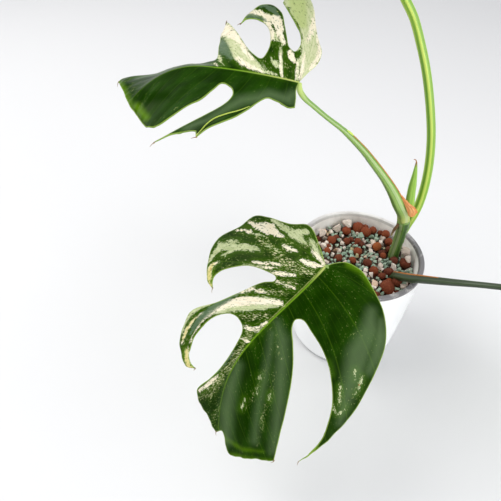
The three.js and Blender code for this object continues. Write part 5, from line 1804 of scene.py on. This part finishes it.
@dataclass
class PottingMix:
    """The bed and its loose-looking grains."""

    reach: float = 66.0
    level: float = 123.5
    crown: float = 2.5
    seed: int = 5
    chip_forms: int = 28
    tries: int = 9000
    crowd: float = 0.78
    tries_below: int = 3600
    crowd_below: float = 0.82
    sunk_below: float = -4.0
    lift: Point2 = (-1.2, 1.4)
    sizes: dict = field(default_factory=lambda: {
        Mineral.CLAY: (3.4, 5.8), Mineral.PUMICE: (3.2, 5.8), Mineral.ZEOLITE: (2.5, 4.4)})
    pile: float = 4.0
    pile_way: float = 50.0
    stems: tuple = ((45.3, 12, 7.0), (-9.6, -57, 4.0), (40, -25.5, 5.2))
    clay_seen: tuple = (
        (331.5, 239.4, 9), (346.8, 240.6, 7), (358, 227.4, 12), (346.4, 230.7, 9), (365.5, 232.3, 11),
        (372.5, 231, 8), (386.2, 232.8, 9), (388.7, 242.3, 9), (377, 246.4, 10), (357.6, 251.4, 9),
        (338.9, 257.2, 8), (352.6, 260, 7), (367.5, 262.6, 9), (373.7, 270, 9), (394, 260.5, 9),
        (405.3, 263, 12), (389, 271.7, 10), (387.8, 286.2, 15), (397, 281.3, 10), (382, 275.5, 8))
    pumice_seen: tuple = (
        (336.8, 226, 10), (348.9, 221.6, 11), (319.9, 229.9, 14), (323.2, 244.8, 10), (382.9, 238.6, 7),
        (370.8, 250.2, 6), (365.5, 256.8, 6), (379.6, 265.5, 9), (393.2, 266.7, 10), (407.7, 249.8, 11),
        (412.7, 258, 12), (365.5, 269.7, 6), (343.9, 261.8, 7))

    def spots(self, camera: "PhotoCamera") -> list:
        """Places the grains: those seen in the photograph first, then seeded ones round them.

        Args:
            camera: The photograph's camera, which turns the seen places into millimetres.

        Returns:
            The grains' spots.
        """
        placed = []
        for kind, seen in ((Mineral.CLAY, self.clay_seen), (Mineral.PUMICE, self.pumice_seen)):
            for px, py, across in seen:
                for height in np.arange(self.level + 3.5, self.level + 13.0, 0.5):
                    x, y = camera.on_level(px, py, height)
                    radius = across * camera.millimetres_per_pixel(x, y, height) / 2
                    if math.hypot(x, y) < self.reach + 0.5 - radius:
                        break
                far = math.hypot(x, y)
                held = min(1.0, (self.reach - radius) / far)
                x, y = x * held, y * held
                placed.append(GrainSpot(kind, x, y, max(self.surface(x, y) + 1.2, height - 2.3), radius))
        draws = np.random.default_rng(self.seed)
        self.scatter(placed, draws, self.tries, 0.0, self.crowd)
        below = []
        self.scatter(below, draws, self.tries_below, self.sunk_below, self.crowd_below)
        return placed + below

    def surface(self, x: float, y: float) -> float:
        """Returns the bed's level at a place: it swells in the middle and piles up against one side of the wall."""
        share = math.hypot(x, y) / self.reach
        turn = math.cos(math.atan2(y, x) - math.radians(self.pile_way))
        return self.level + self.crown * (1 - share) + self.pile * share ** 3 * max(0.0, turn) ** 0.5

    def scatter(self, placed: list, draws: np.random.Generator, tries: int, sink: float, crowd: float) -> None:
        """Adds seeded grains wherever they fit between those placed before.

        Args:
            placed: The grains so far, which this adds to.
            draws: The seeded draws.
            tries: How many places are tried.
            sink: How much higher or lower than the bed they lie.
            crowd: How near each other grains may be, as a share of their radii.
        """
        nowhere = (999, 999, 0)
        centres = np.array([(spot.x, spot.y, spot.radius) for spot in placed] or [nowhere], float)
        for _ in range(tries):
            far = self.reach * math.sqrt(draws.random())
            angle = draws.random() * 2 * math.pi
            kind = self.kind_at(far / self.reach, draws.random())
            radius = draws.uniform(*self.sizes[kind])
            far = min(far, self.reach - radius)
            x, y = far * math.cos(angle), far * math.sin(angle)
            gap = np.hypot(centres[:, 0] - x, centres[:, 1] - y) - crowd * (centres[:, 2] + radius)
            clear = all(math.hypot(x - sx, y - sy) > sr + radius * 0.7 for sx, sy, sr in self.stems)
            if gap.min() > 0 and clear:
                lift = draws.uniform(*self.lift)
                placed.append(GrainSpot(kind, x, y, self.surface(x, y) + sink + lift, radius))
                centres = np.vstack([centres, (x, y, radius)])

    @staticmethod
    def kind_at(share: float, draw: float) -> Mineral:
        """Returns the kind of grain at a share of the bed's radius: chips inside, clay towards the wall."""
        if draw < 0.04 + 0.2 * share ** 2:
            return Mineral.CLAY
        return Mineral.PUMICE if draw < 0.22 + 0.4 * share else Mineral.ZEOLITE

    @staticmethod
    def read_out(shape: bmesh.types.BMesh) -> tuple:
        """Reads a shape and frees it.

        Args:
            shape: The shape in the making.

        Returns:
            Its places and its faces.
        """
        shape.verts.index_update()
        places = np.array([tuple(vertex.co) for vertex in shape.verts])
        faces = [tuple(vertex.index for vertex in face.verts) for face in shape.faces]
        shape.free()
        return places, faces

    def ball(self) -> tuple:
        """Returns the places and faces of a ball of radius 1 made of near-equal triangles."""
        shape = bmesh.new()
        bmesh.ops.create_icosphere(shape, subdivisions=3, radius=1.0)
        return self.read_out(shape)

    def chip(self, draws: np.random.Generator) -> tuple:
        """Breaks a chip: a hull round scattered points, its edges eased.

        Args:
            draws: The seeded draws.

        Returns:
            Its places and its faces.
        """
        points = unit(draws.normal(size=(draws.integers(9, 15), 3))) * draws.uniform(0.72, 1.12)
        shape = bmesh.new()
        corners = [shape.verts.new(point * stretch) for point, stretch in zip(points, draws.uniform(0.8, 1.1, 15))]
        bmesh.ops.convex_hull(shape, input=corners)
        loose = [vertex for vertex in shape.verts if not vertex.link_faces]
        bmesh.ops.delete(shape, geom=loose, context="VERTS")
        bmesh.ops.bevel(shape, geom=shape.edges[:], offset=0.07, segments=1, affect="EDGES", clamp_overlap=True)
        bmesh.ops.remove_doubles(shape, verts=shape.verts[:], dist=0.004)
        bmesh.ops.triangulate(shape, faces=shape.faces[:])
        return self.read_out(shape)

    def grain(self, spot: GrainSpot, form: tuple, draws: np.random.Generator) -> Shell:
        """Shapes one grain.

        Args:
            spot: The grain's kind, place and size.
            form: The ball or chip that it is made from.
            draws: The seeded draws.

        Returns:
            The grain, with its own draw for colour.
        """
        places, faces = form
        turn = np.linalg.qr(draws.normal(size=(3, 3)))[0]
        shaped = places @ turn.T
        if spot.kind is Mineral.CLAY:
            lumps = sum(0.03 * np.sin(shaped @ draws.normal(size=3) * rate + draws.uniform(0, 6))
                        for rate in (2, 3, 5))
            shaped = shaped * (1 + lumps)[:, None] * draws.uniform(0.92, 1.06, 3)
        else:
            shaped = shaped * draws.uniform(0.85, 1.2, 3)
        shaped = shaped @ turn * spot.radius + (spot.x, spot.y, spot.z)
        far = np.hypot(shaped[:, 0], shaped[:, 1])
        held = np.minimum(1.0, (self.reach + 0.6) / np.maximum(far, 1e-6))
        shaped[:, :2] *= held[:, None]
        return Shell(shaped, faces, {"draw": np.full(len(shaped), draws.random())})

    def bed(self) -> Shell:
        """Returns the dark bed under the grains, from the nursery pot's floor up."""
        profile = [(0.0, 16.1), (59.2, 16.1), (self.reach, self.level - 3.5),
                   (self.reach * 0.6, self.level - 2.6), (0.0, self.level - 1.6)]
        shell = turned(np.array(profile), 96)
        shell.marks["draw"] = np.full(len(shell.places), 0.2)
        return shell

    def build(self, camera: "PhotoCamera") -> None:
        """Builds and dresses the bed and the three kinds of grain.

        Args:
            camera: The photograph's camera.
        """
        finishes = {
            Mineral.CLAY: GrainFinish(
                "fired_clay", rgb(78, 28, 8), rgb(134, 58, 20), rgb(158, 84, 34), rgb(160, 100, 60),
                roughness=0.8, pore_scale=800.0, pore_depth=0.0005, odd_from=0.9),
            Mineral.PUMICE: GrainFinish(
                "pumice", rgb(210, 192, 178), rgb(244, 232, 220), rgb(220, 186, 156), rgb(240, 234, 226),
                roughness=0.9, pore_scale=1100.0, pore_depth=0.0009, odd_from=0.84),
            Mineral.ZEOLITE: GrainFinish(
                "zeolite", rgb(132, 156, 137), rgb(182, 204, 182), rgb(190, 160, 96), rgb(190, 202, 184),
                roughness=0.75, pore_depth=0.0004, odd_from=0.93),
        }
        bed = GrainFinish("bed_dust", rgb(58, 36, 26), rgb(98, 72, 54), rgb(98, 72, 54), rgb(120, 100, 84), 0.95)
        place_piece("mix_bed", self.bed(), bed.material(), ("potting_mix",))
        draws = np.random.default_rng(self.seed + 1)
        ball = self.ball()
        chips = [self.chip(draws) for _ in range(self.chip_forms)]
        grains = {kind: [] for kind in Mineral}
        for spot in self.spots(camera):
            form = ball if spot.kind is Mineral.CLAY else chips[draws.integers(self.chip_forms)]
            grains[spot.kind].append(self.grain(spot, form, draws))
        for kind, shells in grains.items():
            LOG.info("%s: %d grains", kind.value, len(shells))
            place_piece(kind.value, joined_shells(shells), finishes[kind].material(),
                        ("potting_mix",), smooth=kind is Mineral.CLAY)


# Camera, light and floor


@dataclass(frozen=True)
class PhotoCamera:
    """The photograph's camera: where it stood and how it looked down, for an image of 501 pixels square."""

    place: Point3 = (-128.74, -419.97, 535.36)
    pitch: float = 43.8
    roll: float = 3.0
    focal_pixels: float = 487.0
    centre: Point2 = (251.0, 250.5)
    image: float = 501.0
    sensor: float = 36.0

    def axes(self) -> tuple:
        """Returns the camera's right, up and forward directions."""
        down = math.radians(self.pitch)
        forward = np.array([0.0, math.cos(down), -math.sin(down)])
        level = np.array([1.0, 0.0, 0.0])
        upright = np.cross(level, forward)
        turn = math.radians(self.roll)
        right = math.cos(turn) * level + math.sin(turn) * upright
        return right, np.cross(right, forward), forward

    def on_level(self, px: float, py: float, z: float) -> Point2:
        """Follows the line of sight through a pixel down to a level.

        Args:
            px: The pixel's place across the photograph.
            py: Its place down it.
            z: The level in millimetres.

        Returns:
            Where the line meets the level, in millimetres.
        """
        right, up, forward = self.axes()
        across, down = (px - self.centre[0]) / self.focal_pixels, (py - self.centre[1]) / self.focal_pixels
        ray = forward + across * right - down * up
        reach = (z - self.place[2]) / ray[2]
        return self.place[0] + reach * ray[0], self.place[1] + reach * ray[1]

    def millimetres_per_pixel(self, x: float, y: float, z: float) -> float:
        """Returns how large a pixel is at a place."""
        depth = float(np.dot(np.array([x, y, z]) - np.array(self.place), self.axes()[2]))
        return depth / self.focal_pixels

    def build(self) -> None:
        """Adds the camera and makes it the scene's."""
        data = bpy.data.cameras.new("photo_camera")
        data.sensor_width = self.sensor
        data.lens = self.focal_pixels * self.sensor / self.image
        data.shift_x = (self.image / 2 - self.centre[0]) / self.image
        data.shift_y = (self.centre[1] - self.image / 2) / self.image
        data.clip_start = 0.01
        data.clip_end = 50.0
        camera = put_in_scene("photo_camera", data)
        right, up, forward = (Vector(axis) for axis in self.axes())
        turn = Matrix((right, up, -forward)).transposed().to_4x4()
        camera.matrix_world = Matrix.Translation(Vector(self.place) * MM) @ turn
        bpy.context.scene.camera = camera


@dataclass
class Studio:
    """Pale floor, pale surroundings that are darker behind the camera, and soft lamps."""

    floor_half: float = 6.0
    sky: float = 1.0
    behind_camera: float = 0.75
    aim: Point3 = (0.0, 0.0, 0.2)

    def floor(self) -> None:
        mesh = bpy.data.meshes.new("floor")
        half = self.floor_half
        corners = [(-half, -half, 0), (half, -half, 0), (half, half, 0), (-half, half, 0)]
        mesh.from_pydata(corners, [], [(0, 1, 2, 3)])
        bench = Bench("floor_paper")
        cloud = bench.noise(bench.object_place(), 1.5, 2.0)
        bench.set(Base_Color=bench.blend(cloud, rgb(214, 214, 215), rgb(211, 211, 212)), Roughness=0.9)
        mesh.materials.append(bench.material)
        floor = put_in_scene("floor", mesh)

    def surroundings(self) -> None:
        """Sets the world light: pale all round, dimmer at mid height on the side that the camera stands."""
        bench = Bench("world_sums")
        world = bpy.data.worlds.new("pale_surroundings")
        world.use_nodes = True
        bpy.data.materials.remove(bench.material)
        bench.tree = world.node_tree
        background = world.node_tree.nodes["Background"]
        direction = bench.node("TexCoord", "Generated", {})
        front = bench.between(bench.part(direction, "Y"), -0.3, 0.3, self.behind_camera, 0.0)
        height = bench.part(direction, "Z")
        middle = bench.times(bench.between(height, 0.12, 0.4), bench.between(height, 0.75, 0.95, 1.0, 0.0))
        dimming = bench.times(front, middle)
        background.inputs["Color"].default_value = (0.97, 0.98, 1.0, 1.0)
        bench.put(background.inputs["Strength"], bench.minus(self.sky, dimming))
        bpy.context.scene.world = world

    def lamp(self, name: str, azimuth: float, elevation: float, away: float, size: float, radiance: float,
             tint: Point3) -> None:
        """Adds one soft square lamp that faces the plant.

        Args:
            name: Its name.
            azimuth: Its direction from the plant in degrees, turned from +X towards +Y.
            elevation: Its height above the plant in degrees.
            away: Its distance in metres.
            size: Its side in metres.
            radiance: How bright its face is.
            tint: Its colour.
        """
        turn, rise = math.radians(azimuth), math.radians(elevation)
        outward = Vector((math.cos(turn) * math.cos(rise), math.sin(turn) * math.cos(rise), math.sin(rise)))
        data = bpy.data.lights.new(name, "AREA")
        data.size = size
        data.energy = radiance * math.pi * size ** 2
        data.color = tint
        lamp = put_in_scene(name, data)
        lamp.location = Vector(self.aim) + outward * away
        lamp.rotation_euler = (-outward).to_track_quat("-Z", "Y").to_euler()

    def build(self) -> None:
        """Adds the floor, the surroundings and the lamps, and shows colours as they are."""
        self.floor()
        self.surroundings()
        self.lamp("key_left", 168, 52, 2.0, 1.3, 5.6, (1.0, 0.99, 0.97))
        self.lamp("soft_panel", -38, 20, 1.9, 1.6, 4.2, (0.98, 0.99, 1.0))
        bpy.context.scene.view_settings.view_transform = "Standard"


def main() -> None:
    """Builds the studio, then the object from the pots up."""
    camera = PhotoCamera()
    Studio().build()
    camera.build()
    planter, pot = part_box("pot_outer")[1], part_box("nursery_pot")[1]
    Planter(planter.z / MM, planter.x / MM).build()
    NurseryPot(pot.x / MM, pot.z / MM, planter.z / MM + 0.3).build()
    PottingMix().build(camera)
    stems = Stems()
    stems.build()
    stalks = {piece.node: piece for piece in stems.pieces()}
    Sheath().build(stalks["petiole_c"])
    BrownRidge().build(stalks["petiole_b"])
    Foliage().build()


if __name__ == "__main__":
    logging.basicConfig(level=logging.INFO, format="%(name)s: %(message)s")
    main()
